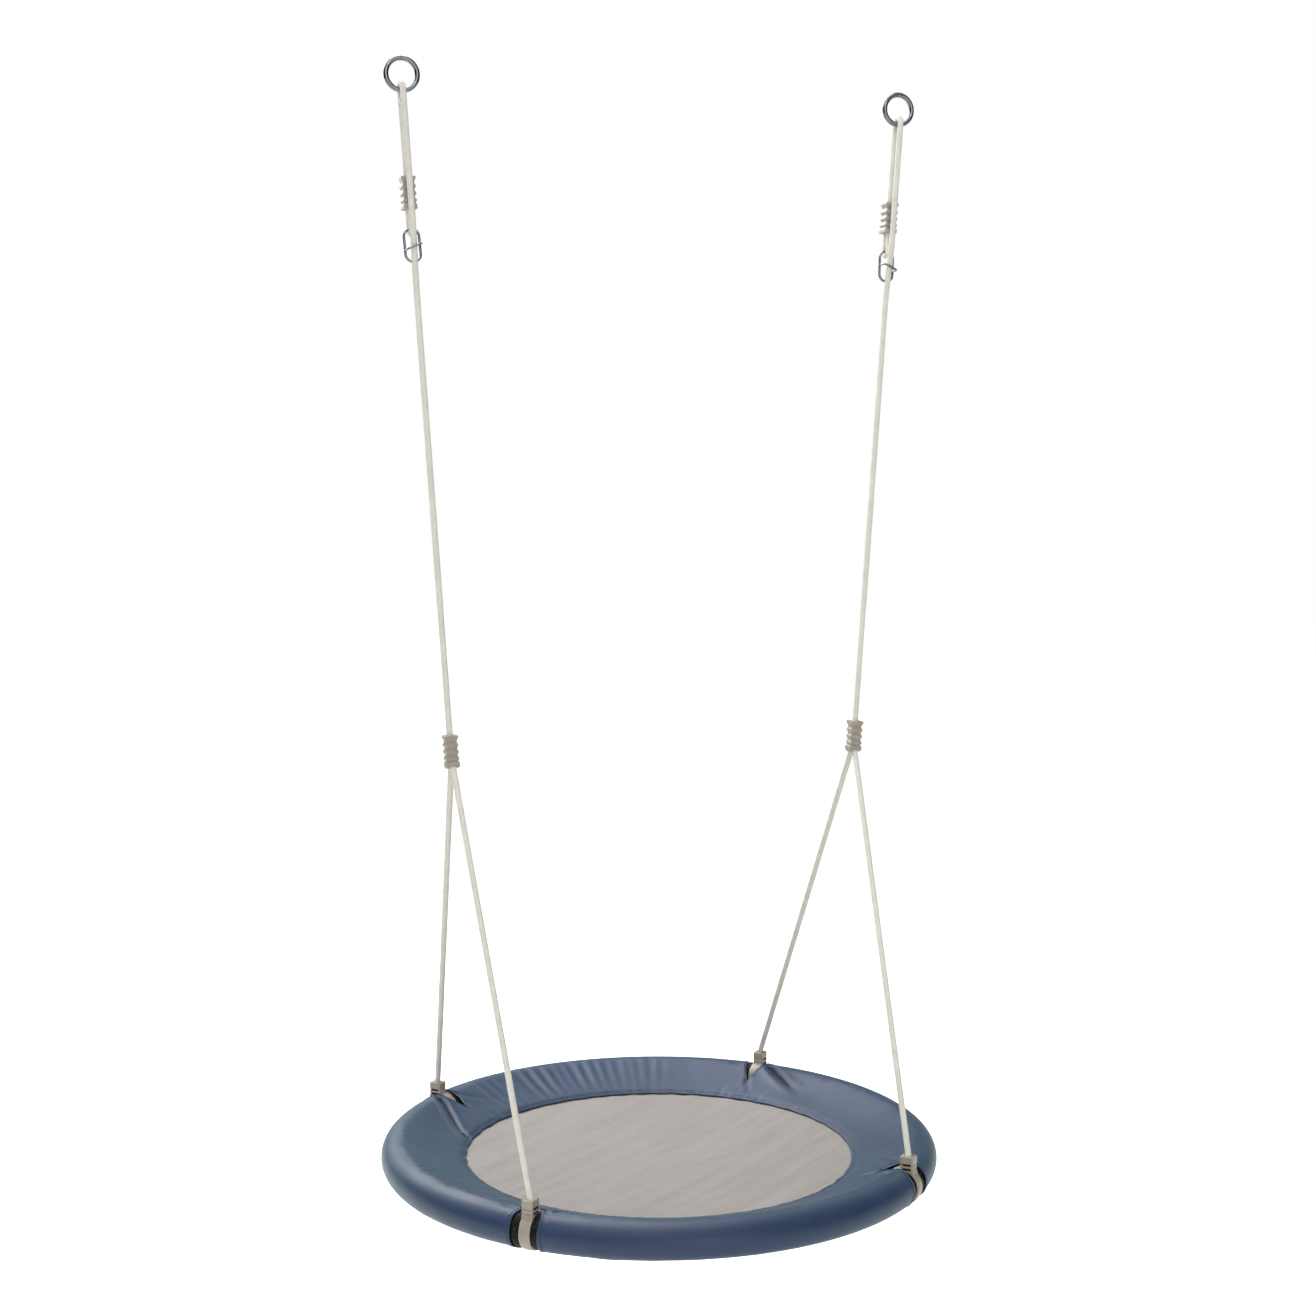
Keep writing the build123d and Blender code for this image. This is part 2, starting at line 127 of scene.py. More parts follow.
def frames_along(points):
    """Tangent and two normals along a polyline, without twist."""
    p = np.asarray(points, float)
    t = np.gradient(p, axis=0)
    t /= np.linalg.norm(t, axis=1)[:, None]
    n = np.zeros_like(p)
    ref = np.array((1.0, 0, 0)) if abs(t[0][0]) < 0.8 else np.array((0, 1.0, 0))
    n[0] = ref - t[0] * (ref @ t[0])
    n[0] /= np.linalg.norm(n[0])
    for i in range(1, len(p)):
        v = n[i - 1] - t[i] * (n[i - 1] @ t[i])
        n[i] = v / np.linalg.norm(v)
    return t, n, np.cross(t, n)


def spline_line(name, points):
    """The line of a smooth NURBS spline through the route's own points, in metres."""
    curve = bpy.data.curves.new(name, "CURVE")
    curve.dimensions = "3D"
    curve.resolution_u = 40
    spline = curve.splines.new("NURBS")
    spline.points.add(len(points) - 1)
    for k, p in enumerate(points):
        spline.points[k].co = (p[0] * MM, p[1] * MM, p[2] * MM, 1.0)
    spline.order_u = 3
    spline.use_endpoint_u = True
    obj = bpy.data.objects.new(name, curve)
    scene.collection.objects.link(obj)
    mesh = bpy.data.meshes.new_from_object(obj)
    line = np.array([v.co for v in mesh.vertices], float)
    bpy.data.meshes.remove(mesh)
    bpy.data.objects.remove(obj)
    bpy.data.curves.remove(curve)
    return line


def even(line, step):
    d = np.linalg.norm(np.diff(line, axis=0), axis=1)
    keep = np.concatenate(([True], d > 1e-9))
    line = line[keep]
    s = np.concatenate(([0], np.cumsum(np.linalg.norm(np.diff(line, axis=0), axis=1))))
    count = max(8, int(round(s[-1] / step)) + 1)
    at = np.linspace(0, s[-1], count)
    return np.column_stack([np.interp(at, s, line[:, k]) for k in range(3)]), at


STRANDS, STRAND_LAY, AROUND = 8, 5.2, 24


def braided_rope(name, line):
    """Sixteen-strand braid: eight strands each way, as raised lozenges along the rope."""
    pts, at = even(line, 1.25 * MM)
    t, n, b = frames_along(pts)
    th = np.linspace(0, 2 * math.pi, AROUND, endpoint=False)
    sa = at[:, None] / MM / STRAND_LAY
    u = th[None, :] * STRANDS / (2 * math.pi)
    one, two = u + sa, u - sa
    lump = np.sqrt(np.abs(np.sin(math.pi * one) * np.sin(math.pi * two)))
    slow = 0.05 * np.sin(at[:, None] / MM / 37.0) + 0.04 * np.sin(at[:, None] / MM / 13.7 + 1.3)
    rad = (4.42 + 0.5 * lump + slow) * MM
    ring = (n[:, None, :] * np.cos(th)[None, :, None] + b[:, None, :] * np.sin(th)[None, :, None])
    co = pts[:, None, :] + ring * rad[:, :, None]
    # rounded ends
    for end, sgn in ((0, 1), (-1, -1)):
        for k, (grow, back) in enumerate(((0.35, 0.0), (0.75, 0.35), (0.93, 0.55))):
            i = k if end == 0 else len(pts) - 1 - k
            co[i] = pts[i] + (co[i] - pts[i]) * grow
    rows, cols = co.shape[:2]
    verts = np.vstack([co.reshape(-1, 3), pts[0], pts[-1]])
    i, j = np.meshgrid(np.arange(rows - 1), np.arange(cols), indexing="ij")
    a = i * cols + j
    c = i * cols + (j + 1) % cols
    faces = np.stack([a, c, c + cols, a + cols], -1).reshape(-1, 4).tolist()
    last = rows * cols
    for j in range(cols):
        faces.append([last, (j + 1) % cols, j])
        faces.append([last + 1, (rows - 1) * cols + j, (rows - 1) * cols + (j + 1) % cols])
    obj = new_object(name, verts, faces, unit=1.0)
    mesh = obj.data
    lump_all = np.concatenate([lump.ravel(), [1, 1]])
    att = mesh.attributes.new("lump", "FLOAT", "POINT")
    att.data.foreach_set("value", lump_all.astype(np.float32))
    run = np.zeros((len(verts), 3))
    run[:rows * cols, 0] = np.tile(th, rows) * ROPE_R
    run[:rows * cols, 1] = np.repeat(at / MM, cols)
    att = mesh.attributes.new("run", "FLOAT_VECTOR", "POINT")
    att.data.foreach_set("vector", run.astype(np.float32).ravel())
    return obj, pts[::2]


# ----------------------------------------------------------------- materials
def material(name, slot=None):
    m = bpy.data.materials.new(name)
    m.use_nodes = True
    return m, m.node_tree.nodes, m.node_tree.links, m.node_tree.nodes["Principled BSDF"]


def ramp(nodes, stops):
    r = nodes.new("ShaderNodeValToRGB")
    while len(r.color_ramp.elements) > 1:
        r.color_ramp.elements.remove(r.color_ramp.elements[-1])
    r.color_ramp.elements[0].position = stops[0][0]
    r.color_ramp.elements[0].color = (*stops[0][1], 1)
    for pos, col in stops[1:]:
        e = r.color_ramp.elements.new(pos)
        e.color = (*col, 1)
    return r


def srgb(r, g, b):
    return tuple(((c / 255 + 0.055) / 1.055) ** 2.4 if c > 10 else c / 255 / 12.92 for c in (r, g, b))


def noise(nodes, links, vector, scale, detail=3.0, rough=0.5, dims=None):
    n = nodes.new("ShaderNodeTexNoise")
    n.inputs["Scale"].default_value = scale
    n.inputs["Detail"].default_value = detail
    n.inputs["Roughness"].default_value = rough
    links.new(vector, n.inputs["Vector"])
    return n


def math_node(nodes, links, op, a, b=None, c=None):
    n = nodes.new("ShaderNodeMath")
    n.operation = op
    for k, v in enumerate((a, b, c)):
        if v is None:
            continue
        if isinstance(v, (int, float)):
            n.inputs[k].default_value = v
        else:
            links.new(v, n.inputs[k])
    return n.outputs[0]


def mix(nodes, links, fac, a, b, how="MIX"):
    n = nodes.new("ShaderNodeMix")
    n.data_type = "RGBA"
    n.blend_type = how
    if isinstance(fac, (int, float)):
        n.inputs[0].default_value = fac
    else:
        links.new(fac, n.inputs[0])
    for k, v in ((6, a), (7, b)):
        if isinstance(v, tuple):
            n.inputs[k].default_value = (*v, 1)
        else:
            links.new(v, n.inputs[k])
    return n.outputs[2]


def bump(nodes, links, height, distance, strength=1.0, normal=None):
    n = nodes.new("ShaderNodeBump")
    n.inputs["Strength"].default_value = strength
    n.inputs["Distance"].default_value = distance
    links.new(height, n.inputs["Height"])
    if normal is not None:
        links.new(normal, n.inputs["Normal"])
    return n.outputs[0]


def attribute(nodes, name):
    n = nodes.new("ShaderNodeAttribute")
    n.attribute_name = name
    return n


def object_coords(nodes):
    return nodes.new("ShaderNodeTexCoord").outputs["Object"]


def rope_material():
    m, nodes, links, p = material("rope_braid")
    lump = attribute(nodes, "lump").outputs["Fac"]
    run = attribute(nodes, "run").outputs["Vector"]
    # painted shade: the braid's lump height darkens the valleys between strands and lightens the strand crowns
    r = ramp(nodes, [(0.0, srgb(212, 209, 196)), (0.35, srgb(236, 233, 221)), (1.0, srgb(248, 246, 236))])
    links.new(lump, r.inputs[0])
    patch = noise(nodes, links, object_coords(nodes), 55.0, 4.0)
    tint = ramp(nodes, [(0.3, (0.9, 0.89, 0.86)), (0.7, (1.0, 1.0, 1.0))])
    links.new(patch.outputs[0], tint.inputs[0])
    links.new(mix(nodes, links, 1.0, r.outputs[0], tint.outputs[0], "MULTIPLY"), p.inputs["Base Color"])
    wave = nodes.new("ShaderNodeTexWave")
    wave.inputs["Scale"].default_value = 0.8
    wave.inputs["Distortion"].default_value = 2.0
    wave.inputs["Detail"].default_value = 2.0
    links.new(run, wave.inputs["Vector"])
    fibre = noise(nodes, links, object_coords(nodes), 1800.0, 2.0)
    both = math_node(nodes, links, "MULTIPLY_ADD", wave.outputs["Fac"], 0.5, fibre.outputs[0])
    links.new(bump(nodes, links, both, 0.00025, 0.6), p.inputs["Normal"])
    rr = ramp(nodes, [(0.0, (0.62,) * 3), (1.0, (0.8,) * 3)])
    links.new(fibre.outputs[0], rr.inputs[0])
    links.new(rr.outputs[0], p.inputs["Roughness"])
    p.inputs["Sheen Weight"].default_value = 0.15
    return m


def cover_material():
    m, nodes, links, p = material("cover_coated_fabric")
    fab = attribute(nodes, "fab").outputs["Vector"]
    obj = object_coords(nodes)
    big = noise(nodes, links, obj, 7.0, 3.0)
    base = ramp(nodes, [(0.3, srgb(30, 50, 84)), (0.7, srgb(40, 60, 94))])
    links.new(big.outputs[0], base.inputs[0])
    # painted shade: where the fold attribute is high, in the crease valleys, the base colour is mixed towards a dark
    # purple
    fold = attribute(nodes, "fold").outputs["Fac"]
    crease_shaded_base = mix(nodes, links, math_node(nodes, links, "MULTIPLY", fold, 0.9), base.outputs[0], srgb(12, 10, 44))
    # plain weave under the coating: two sets of threads about 0.9 mm apart
    sep = nodes.new("ShaderNodeSeparateXYZ")
    links.new(fab, sep.inputs[0])
    ax = math_node(nodes, links, "SINE", math_node(nodes, links, "MULTIPLY", sep.outputs[0], 2 * math.pi / 1.1))
    ay = math_node(nodes, links, "SINE", math_node(nodes, links, "MULTIPLY", sep.outputs[1], 2 * math.pi / 1.1))
    weave = math_node(nodes, links, "MULTIPLY", ax, ay)
    weave01 = math_node(nodes, links, "MULTIPLY_ADD", weave, 0.5, 0.5)
    fine = noise(nodes, links, obj, 420.0, 3.0)
    wv = ramp(nodes, [(0.0, (0.9, 0.9, 0.9)), (1.0, (1.04, 1.04, 1.04))])
    links.new(weave01, wv.inputs[0])
    links.new(mix(nodes, links, 0.7, crease_shaded_base, wv.outputs[0], "MULTIPLY"), p.inputs["Base Color"])
    h = math_node(nodes, links, "MULTIPLY_ADD", weave, 0.35, fine.outputs[0])
    soft = noise(nodes, links, obj, 34.0, 4.0)
    n1 = bump(nodes, links, soft.outputs[0], 0.0012, 0.35)
    links.new(bump(nodes, links, h, 0.00010, 0.5, n1), p.inputs["Normal"])
    rr = ramp(nodes, [(0.25, (0.40,) * 3), (0.75, (0.50,) * 3)])
    links.new(noise(nodes, links, obj, 22.0, 4.0).outputs[0], rr.inputs[0])
    dull = math_node(nodes, links, "MULTIPLY", fold, 0.95)
    links.new(math_node(nodes, links, "MAXIMUM", rr.outputs[0], dull), p.inputs["Roughness"])
    p.inputs["Specular IOR Level"].default_value = 0.5
    p.inputs["Sheen Weight"].default_value = 0.22
    p.inputs["Sheen Roughness"].default_value = 0.45
    p.inputs["Sheen Tint"].default_value = (0.66, 1.0, 0.84, 1)
    return m


def mat_material():
    m, nodes, links, p = material("mat_woven_mesh")
    fab = attribute(nodes, "fab").outputs["Vector"]
    obj = object_coords(nodes)
    sep = nodes.new("ShaderNodeSeparateXYZ")
    links.new(fab, sep.inputs[0])
    pitch_mm = 4.8
    u = math_node(nodes, links, "MULTIPLY", sep.outputs[0], 2 * math.pi / pitch_mm)
    v = math_node(nodes, links, "MULTIPLY", sep.outputs[1], 2 * math.pi / pitch_mm)
    su, sv = math_node(nodes, links, "SINE", u), math_node(nodes, links, "SINE", v)
    weave = math_node(nodes, links, "MULTIPLY", su, sv)
    # small open windows between the yarns
    cu, cv = math_node(nodes, links, "COSINE", u), math_node(nodes, links, "COSINE", v)
    gap = math_node(nodes, links, "MULTIPLY", math_node(nodes, links, "ABSOLUTE", cu),
                    math_node(nodes, links, "ABSOLUTE", cv))
    gap = math_node(nodes, links, "POWER", gap, 3.0)
    yarn = ramp(nodes, [(0.0, srgb(130, 126, 122)), (1.0, srgb(184, 179, 174))])
    links.new(math_node(nodes, links, "MULTIPLY_ADD", weave, 0.5, 0.5), yarn.inputs[0])
    dark = mix(nodes, links, math_node(nodes, links, "MULTIPLY", gap, 0.8), yarn.outputs[0], srgb(104, 99, 93))
    big = noise(nodes, links, obj, 9.0, 3.0)
    tint = ramp(nodes, [(0.3, (0.94, 0.92, 0.92)), (0.7, (0.99, 0.98, 0.98))])
    links.new(big.outputs[0], tint.inputs[0])
    # long soft streaks where the cloth is drawn tight
    run = nodes.new("ShaderNodeMapping")
    run.inputs["Rotation"].default_value = (0, 0, 0.9)
    run.inputs["Scale"].default_value = (0.0035, 0.05, 1)
    links.new(fab, run.inputs["Vector"])
    streak = noise(nodes, links, run.outputs[0], 1.0, 2.0)
    streaks_c = ramp(nodes, [(0.36, (0.93, 0.92, 0.92)), (0.64, (1.04, 1.04, 1.04))])
    links.new(streak.outputs[0], streaks_c.inputs[0])
    tinted = mix(nodes, links, 1.0, dark, tint.outputs[0], "MULTIPLY")
    links.new(mix(nodes, links, 1.0, tinted, streaks_c.outputs[0], "MULTIPLY"), p.inputs["Base Color"])
    h = math_node(nodes, links, "SUBTRACT", math_node(nodes, links, "MULTIPLY", weave, 0.6), gap)
    links.new(bump(nodes, links, h, 0.00035, 0.7), p.inputs["Normal"])
    rr = ramp(nodes, [(0.3, (0.55,) * 3), (0.7, (0.68,) * 3)])
    links.new(big.outputs[0], rr.inputs[0])
    links.new(rr.outputs[0], p.inputs["Roughness"])
    p.inputs["Sheen Weight"].default_value = 0.1
    return m


def plastic_material():
    m, nodes, links, p = material("clamp_moulded_plastic")
    obj = object_coords(nodes)
    big = noise(nodes, links, obj, 45.0, 3.0)
    base = ramp(nodes, [(0.3, srgb(158, 149, 135)), (0.7, srgb(172, 164, 150))])
    links.new(big.outputs[0], base.inputs[0])
    # painted shade and highlight: by pointiness the colour is darkened in grooves and hollows and lightened on outer
    # edges
    geo = nodes.new("ShaderNodeNewGeometry")
    edge = ramp(nodes, [(0.46, (0.82, 0.81, 0.8)), (0.5, (1.0, 1.0, 1.0)), (0.56, (1.12, 1.12, 1.12))])
    links.new(geo.outputs["Pointiness"], edge.inputs[0])
    links.new(mix(nodes, links, 1.0, base.outputs[0], edge.outputs[0], "MULTIPLY"), p.inputs["Base Color"])
    fine = noise(nodes, links, obj, 900.0, 3.0)
    links.new(bump(nodes, links, fine.outputs[0], 0.00008, 0.5), p.inputs["Normal"])
    rr = ramp(nodes, [(0.25, (0.26,) * 3), (0.75, (0.38,) * 3)])
    links.new(noise(nodes, links, obj, 130.0, 4.0).outputs[0], rr.inputs[0])
    links.new(rr.outputs[0], p.inputs["Roughness"])
    return m


def chrome_material():
    m, nodes, links, p = material("chrome_wire")
    obj = object_coords(nodes)
    p.inputs["Metallic"].default_value = 1.0
    base = ramp(nodes, [(0.3, srgb(120, 124, 130)), (0.7, srgb(138, 141, 146))])
    links.new(noise(nodes, links, obj, 60.0, 3.0).outputs[0], base.inputs[0])
    links.new(base.outputs[0], p.inputs["Base Color"])
    rr = ramp(nodes, [(0.3, (0.05,) * 3), (0.75, (0.12,) * 3)])
    links.new(noise(nodes, links, obj, 240.0, 5.0).outputs[0], rr.inputs[0])
    links.new(rr.outputs[0], p.inputs["Roughness"])
    fine = noise(nodes, links, obj, 700.0, 3.0)
    links.new(bump(nodes, links, fine.outputs[0], 0.00006, 0.35), p.inputs["Normal"])
    return m


def foam_material():
    m, nodes, links, p = material("foam_black")
    obj = object_coords(nodes)
    cells = nodes.new("ShaderNodeTexVoronoi")
    cells.inputs["Scale"].default_value = 420.0
    links.new(obj, cells.inputs["Vector"])
    spots = noise(nodes, links, obj, 140.0, 4.0)
    base = ramp(nodes, [(0.44, srgb(5, 5, 6)), (0.57, srgb(12, 12, 13)), (0.68, srgb(84, 74, 62))])
    links.new(spots.outputs[0], base.inputs[0])
    links.new(base.outputs[0], p.inputs["Base Color"])
    h = math_node(nodes, links, "MULTIPLY_ADD", spots.outputs[0], 2.0, cells.outputs["Distance"])
    links.new(bump(nodes, links, h, 0.0006, 0.8), p.inputs["Normal"])
    p.inputs["Specular IOR Level"].default_value = 0.22
    rr = ramp(nodes, [(0.3, (0.5,) * 3), (0.7, (0.72,) * 3)])
    links.new(spots.outputs[0], rr.inputs[0])
    links.new(rr.outputs[0], p.inputs["Roughness"])
    return m


def steel_material():
    m, nodes, links, p = material("tube_painted_steel")
    obj = object_coords(nodes)
    base = ramp(nodes, [(0.3, srgb(52, 54, 58)), (0.7, srgb(66, 68, 72))])
    links.new(noise(nodes, links, obj, 18.0, 3.0).outputs[0], base.inputs[0])
    links.new(base.outputs[0], p.inputs["Base Color"])
    peel = noise(nodes, links, obj, 500.0, 2.0)
    links.new(bump(nodes, links, peel.outputs[0], 0.0001, 0.5), p.inputs["Normal"])
    rr = ramp(nodes, [(0.3, (0.3,) * 3), (0.7, (0.42,) * 3)])
    links.new(peel.outputs[0], rr.inputs[0])
    links.new(rr.outputs[0], p.inputs["Roughness"])
    return m


def webbing_material(name, low, high):
    m, nodes, links, p = material(name)
    obj = object_coords(nodes)
    wave = nodes.new("ShaderNodeTexWave")
    wave.wave_type = "RINGS"
    wave.rings_direction = "Z"
    wave.inputs["Scale"].default_value = 180.0
    wave.inputs["Distortion"].default_value = 0.6
    links.new(obj, wave.inputs["Vector"])
    base = ramp(nodes, [(0.2, low), (0.8, high)])
    links.new(wave.outputs["Fac"], base.inputs[0])
    links.new(base.outputs[0], p.inputs["Base Color"])
    links.new(bump(nodes, links, wave.outputs["Fac"], 0.0002, 0.7), p.inputs["Normal"])
    rr = ramp(nodes, [(0.3, (0.65,) * 3), (0.7, (0.8,) * 3)])
    links.new(noise(nodes, links, obj, 300.0).outputs[0], rr.inputs[0])
    links.new(rr.outputs[0], p.inputs["Roughness"])
    return m


def recess_material():
    m, nodes, links, p = material("clamp_recess_shade")
    obj = object_coords(nodes)
    base = ramp(nodes, [(0.3, srgb(20, 19, 18)), (0.7, srgb(34, 32, 30))])
    links.new(noise(nodes, links, obj, 260.0, 3.0).outputs[0], base.inputs[0])
    links.new(base.outputs[0], p.inputs["Base Color"])
    links.new(bump(nodes, links, noise(nodes, links, obj, 900.0, 3.0).outputs[0], 0.00008, 0.5), p.inputs["Normal"])
    p.inputs["Roughness"].default_value = 0.7
    return m


MAT = {"rope": rope_material(), "recess": recess_material(), "cover": cover_material(), "mat": mat_material(), "plastic": plastic_material(),
       "chrome": chrome_material(), "foam": foam_material(), "steel": steel_material(),
       "webbing": webbing_material("webbing_black", srgb(20, 21, 24), srgb(44, 45, 50)),
       "thread": webbing_material("stitch_thread", srgb(34, 46, 70), srgb(62, 76, 104))}


def give(obj, key):
    obj.data.materials.clear()
    obj.data.materials.append(MAT[key])


# --------------------------------------------------------------------- ropes
# Local route points (y, s), s below the ring's bottom wire, as the rope runs:
# out of the fork clamp, up through the link and past the adjuster clamp, over
# the ring, down into the adjuster clamp, round the link's top wire and back.
ROUTE = [(0.0, 985.6), (0.0, 332.0), (0.0, 274.4), (-9.4, 208.4), (-9.4, 150.0), (-9.4, 58.0), (-9.4, 1.2),
         (-9.4, -4.3), (-4.1, -9.7), (4.1, -9.7), (9.4, -4.3), (9.4, 1.2), (9.4, 58.0), (9.4, 124.8),
         (14.25, 142.8), (14.25, 177.8), (16.6, 202.4), (16.6, 211.6), (2.2, 211.6), (2.2, 202.4), (4.55, 177.8),
         (4.55, 153.8)]
for side, name in ((-1, "left"), (1, "right")):
    line = spline_line("route_" + name, [on_line(side, s, 0.0, y) for y, s in ROUTE])
    rope, path = braided_rope("hanging_rope_" + name, line)
    give(rope, "rope")
    top = on_line(side, 0.0) * MM
    low = on_line(side, 34.0) * MM
    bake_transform(rope)
    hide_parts("main_rope_" + name, "rope_bight_" + name, "adjuster_rope_" + name)
    tuple(on_line(side, FORK_S) * MM)

for place, az in CLIPS.items():
    side = -1 if place.startswith("left") else 1
    apex = on_line(side, APEX_S)
    entry = clip_entry(az)
    run = entry - apex
    d = run / np.linalg.norm(run)
    line = spline_line("route_" + place, [apex + d * 9.0, apex + d * 70.0, entry - d * 60.0, entry + d * (7.0 if side < 0 else 4.6)])
    rope, path = braided_rope("leg_rope_" + place + "_braid", line)
    give(rope, "rope")
    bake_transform(rope)
    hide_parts("leg_rope_" + place)

# --------------------------------------------------------------- wire pieces
def tube_along(name, points, radius, closed=False, around=20, bulge=None):
    """A round wire along points in millimetres. bulge adds to the radius by row."""
    p = np.asarray(points, float)
    if closed:
        t = np.roll(p, -1, axis=0) - np.roll(p, 1, axis=0)
    else:
        t = np.gradient(p, axis=0)
    t /= np.linalg.norm(t, axis=1)[:, None]
    n = np.zeros_like(p)
    ref = np.array((0.0, 1.0, 0)) if abs(t[0][1]) < 0.8 else np.array((1.0, 0, 0))
    n[0] = ref - t[0] * (ref @ t[0])
    n[0] /= np.linalg.norm(n[0])
    for i in range(1, len(p)):
        v = n[i - 1] - t[i] * (n[i - 1] @ t[i])
        n[i] = v / np.linalg.norm(v)
    b = np.cross(t, n)
    th = np.linspace(0, 2 * math.pi, around, endpoint=False)
    rad = np.full(len(p), float(radius)) + (0 if bulge is None else np.asarray(bulge))
    co = p[:, None] + (n[:, None] * np.cos(th)[None, :, None] + b[:, None] * np.sin(th)[None, :, None]) * rad[:, None, None]
    rows = len(p)
    verts = co.reshape(-1, 3)
    faces = []
    for i in range(rows if closed else rows - 1):
        k = (i + 1) % rows
        for j in range(around):
            q = (j + 1) % around
            faces.append([i * around + j, i * around + q, k * around + q, k * around + j])
    if not closed:
        verts = np.vstack([verts, p[0] - t[0] * radius * 0.35, p[-1] + t[-1] * radius * 0.35])
        for j in range(around):
            q = (j + 1) % around
            faces.append([rows * around, q, j])
            faces.append([rows * around + 1, (rows - 1) * around + j, (rows - 1) * around + q])
    return verts, faces


def merge(parts):
    verts, faces = [], []
    count = 0
    for v, f in parts:
        verts.append(np.asarray(v))
        faces += [[i + count for i in face] for face in f]
        count += len(v)
    return np.vstack(verts), faces


for side, name in ((-1, "left"), (1, "right")):
    a = np.radians(np.arange(0, 360, 2.5))
    centre = np.array((side * RING_SPACING / 2, 0, 0))
    pts = centre + np.column_stack([RING_R * np.cos(a), np.zeros_like(a), RING_R * np.sin(a)])
    # a small ground-down weld at the top of the ring
    weld = 0.22 * np.exp(-((np.degrees(a) - (96 if side < 0 else 83)) / 3.2) ** 2)
    v, f = tube_along("ring", pts, RING_WIRE / 2 - 0.02, closed=True, around=28, bulge=weld)
    ring = new_object("hanging_ring_" + name, v, f)
    give(ring, "chrome")
    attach(ring, "rings")
    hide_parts("ring_" + name)

BEND_A, BEND_B, BIGHT_R = LINK_TOP + 6.0, LINK_TOP + LINK_H + 18.0, 9.4
LINK_Y = ROPE_R + LINK_WIRE / 2 + 0.5 - BIGHT_R * (BEND_B - (LINK_TOP + LINK_H - LINK_WIRE / 2)) / (BEND_B - BEND_A)
LINK_R = (LINK_W - LINK_WIRE) / 2
for side, name in ((-1, "left"), (1, "right")):
    lean = math.atan2(ADJ_Y - LINK_Y, LINK_H - LINK_WIRE)
    base = on_line(side, LINK_TOP + LINK_H - LINK_WIRE / 2, 0, LINK_Y)
    tilt = up_dir(side) * math.cos(lean) + np.array((0, 1, 0)) * math.sin(lean)
    ac = across_dir(side)
    straight = LINK_H - LINK_WIRE - 2 * LINK_R
    oval = []
    for k in range(9):
        oval.append((LINK_R, LINK_R + straight * k / 8))
    for k in range(1, 24):
        w = math.pi * k / 24
        oval.append((LINK_R * math.cos(w), LINK_R + straight + LINK_R * math.sin(w)))
    for k in range(9):
        oval.append((-LINK_R, LINK_R + straight * (1 - k / 8)))
    for k in range(1, 24):
        w = math.pi + math.pi * k / 24
        oval.append((LINK_R * math.cos(w), LINK_R + LINK_R * math.sin(w)))
    pts = [base + ac * x + tilt * y for x, y in oval]
    loop = tube_along("oval", pts, LINK_WIRE / 2, closed=True, around=18)
    rope_y = -BIGHT_R * (BEND_B - BAR_S) / (BEND_B - BEND_A)
    front = rope_y - ROPE_R - 1.6 - 0.5
    back = LINK_Y + (ADJ_Y - LINK_Y) * (LINK_TOP + LINK_H - LINK_WIRE / 2 - BAR_S) / (LINK_H - LINK_WIRE)
    fall = 4.5 * side
    corner = [on_line(side, BAR_S - fall, -LINK_R, back), on_line(side, BAR_S - fall * 0.9, -LINK_R + 0.6, front),
              on_line(side, BAR_S + fall * 0.9, LINK_R - 0.6, front), on_line(side, BAR_S + fall, LINK_R, back)]
    bar = []
    c0, c1, c2, c3 = corner
    for k in range(5):
        bar.append(c0 + (c1 - c0) * 0.62 * k / 5)
    for k in range(9):
        w = k / 8
        p0, p1, p2 = c0 + (c1 - c0) * 0.62, c1, c1 + (c2 - c1) * 0.2
        bar.append(p0 * (1 - w) ** 2 + p1 * 2 * w * (1 - w) + p2 * w * w)
    for k in range(1, 6):
        bar.append(c1 + (c2 - c1) * (0.2 + 0.6 * k / 6))
    for k in range(9):
        w = k / 8
        p0, p1, p2 = c1 + (c2 - c1) * 0.8, c2, c2 + (c3 - c2) * 0.38
        bar.append(p0 * (1 - w) ** 2 + p1 * 2 * w * (1 - w) + p2 * w * w)
    for k in range(1, 6):
        bar.append(c2 + (c3 - c2) * (0.38 + 0.62 * k / 5))
    cross = tube_along("bar", bar, 1.6, around=16)
    v, f = merge([loop, cross])
    link = new_object("wire_link_" + name, v, f)
    give(link, "chrome")
    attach(link, "hanger_" + name)
    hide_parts("adjuster_link_" + name)

# -------------------------------------------------------------- ribbed clamps
RIBS = [(11.0, 0.0), (11.0, 3.4), (9.3, 9.4), (10.8, 14.2), (10.8, 15.8), (9.3, 20.2), (10.8, 24.8),
        (10.8, 26.4), (9.3, 30.8), (10.8, 35.2), (10.8, 36.8), (9.5, 40.0), (10.8, 41.6)]


def rounded(points, times=2):
    """Rounds a profile's corners and keeps its two ends."""
    p = [np.asarray(q, float) for q in points]
    for _ in range(times):
        out = [p[0]]
        for a, b in zip(p[:-1], p[1:]):
            out += [a * 0.78 + b * 0.22, a * 0.22 + b * 0.78]
        out.append(p[-1])
        p = out
    return p


def rr_point(wx, wy, rc, c, s):
    """Where a ray from the middle leaves a rounded rectangle."""
    rc = min(rc, wx * 0.95, wy * 0.95)
    t = min(wx / max(abs(c), 1e-9), wy / max(abs(s), 1e-9))
    x, y = abs(c) * t, abs(s) * t
    if x > wx - rc and y > wy - rc:
        ox, oy = wx - rc, wy - rc
        bq = abs(c) * ox + abs(s) * oy
        disc = bq * bq - (ox * ox + oy * oy - rc * rc)
        t = bq + math.sqrt(max(disc, 0))
    return c * t, s * t


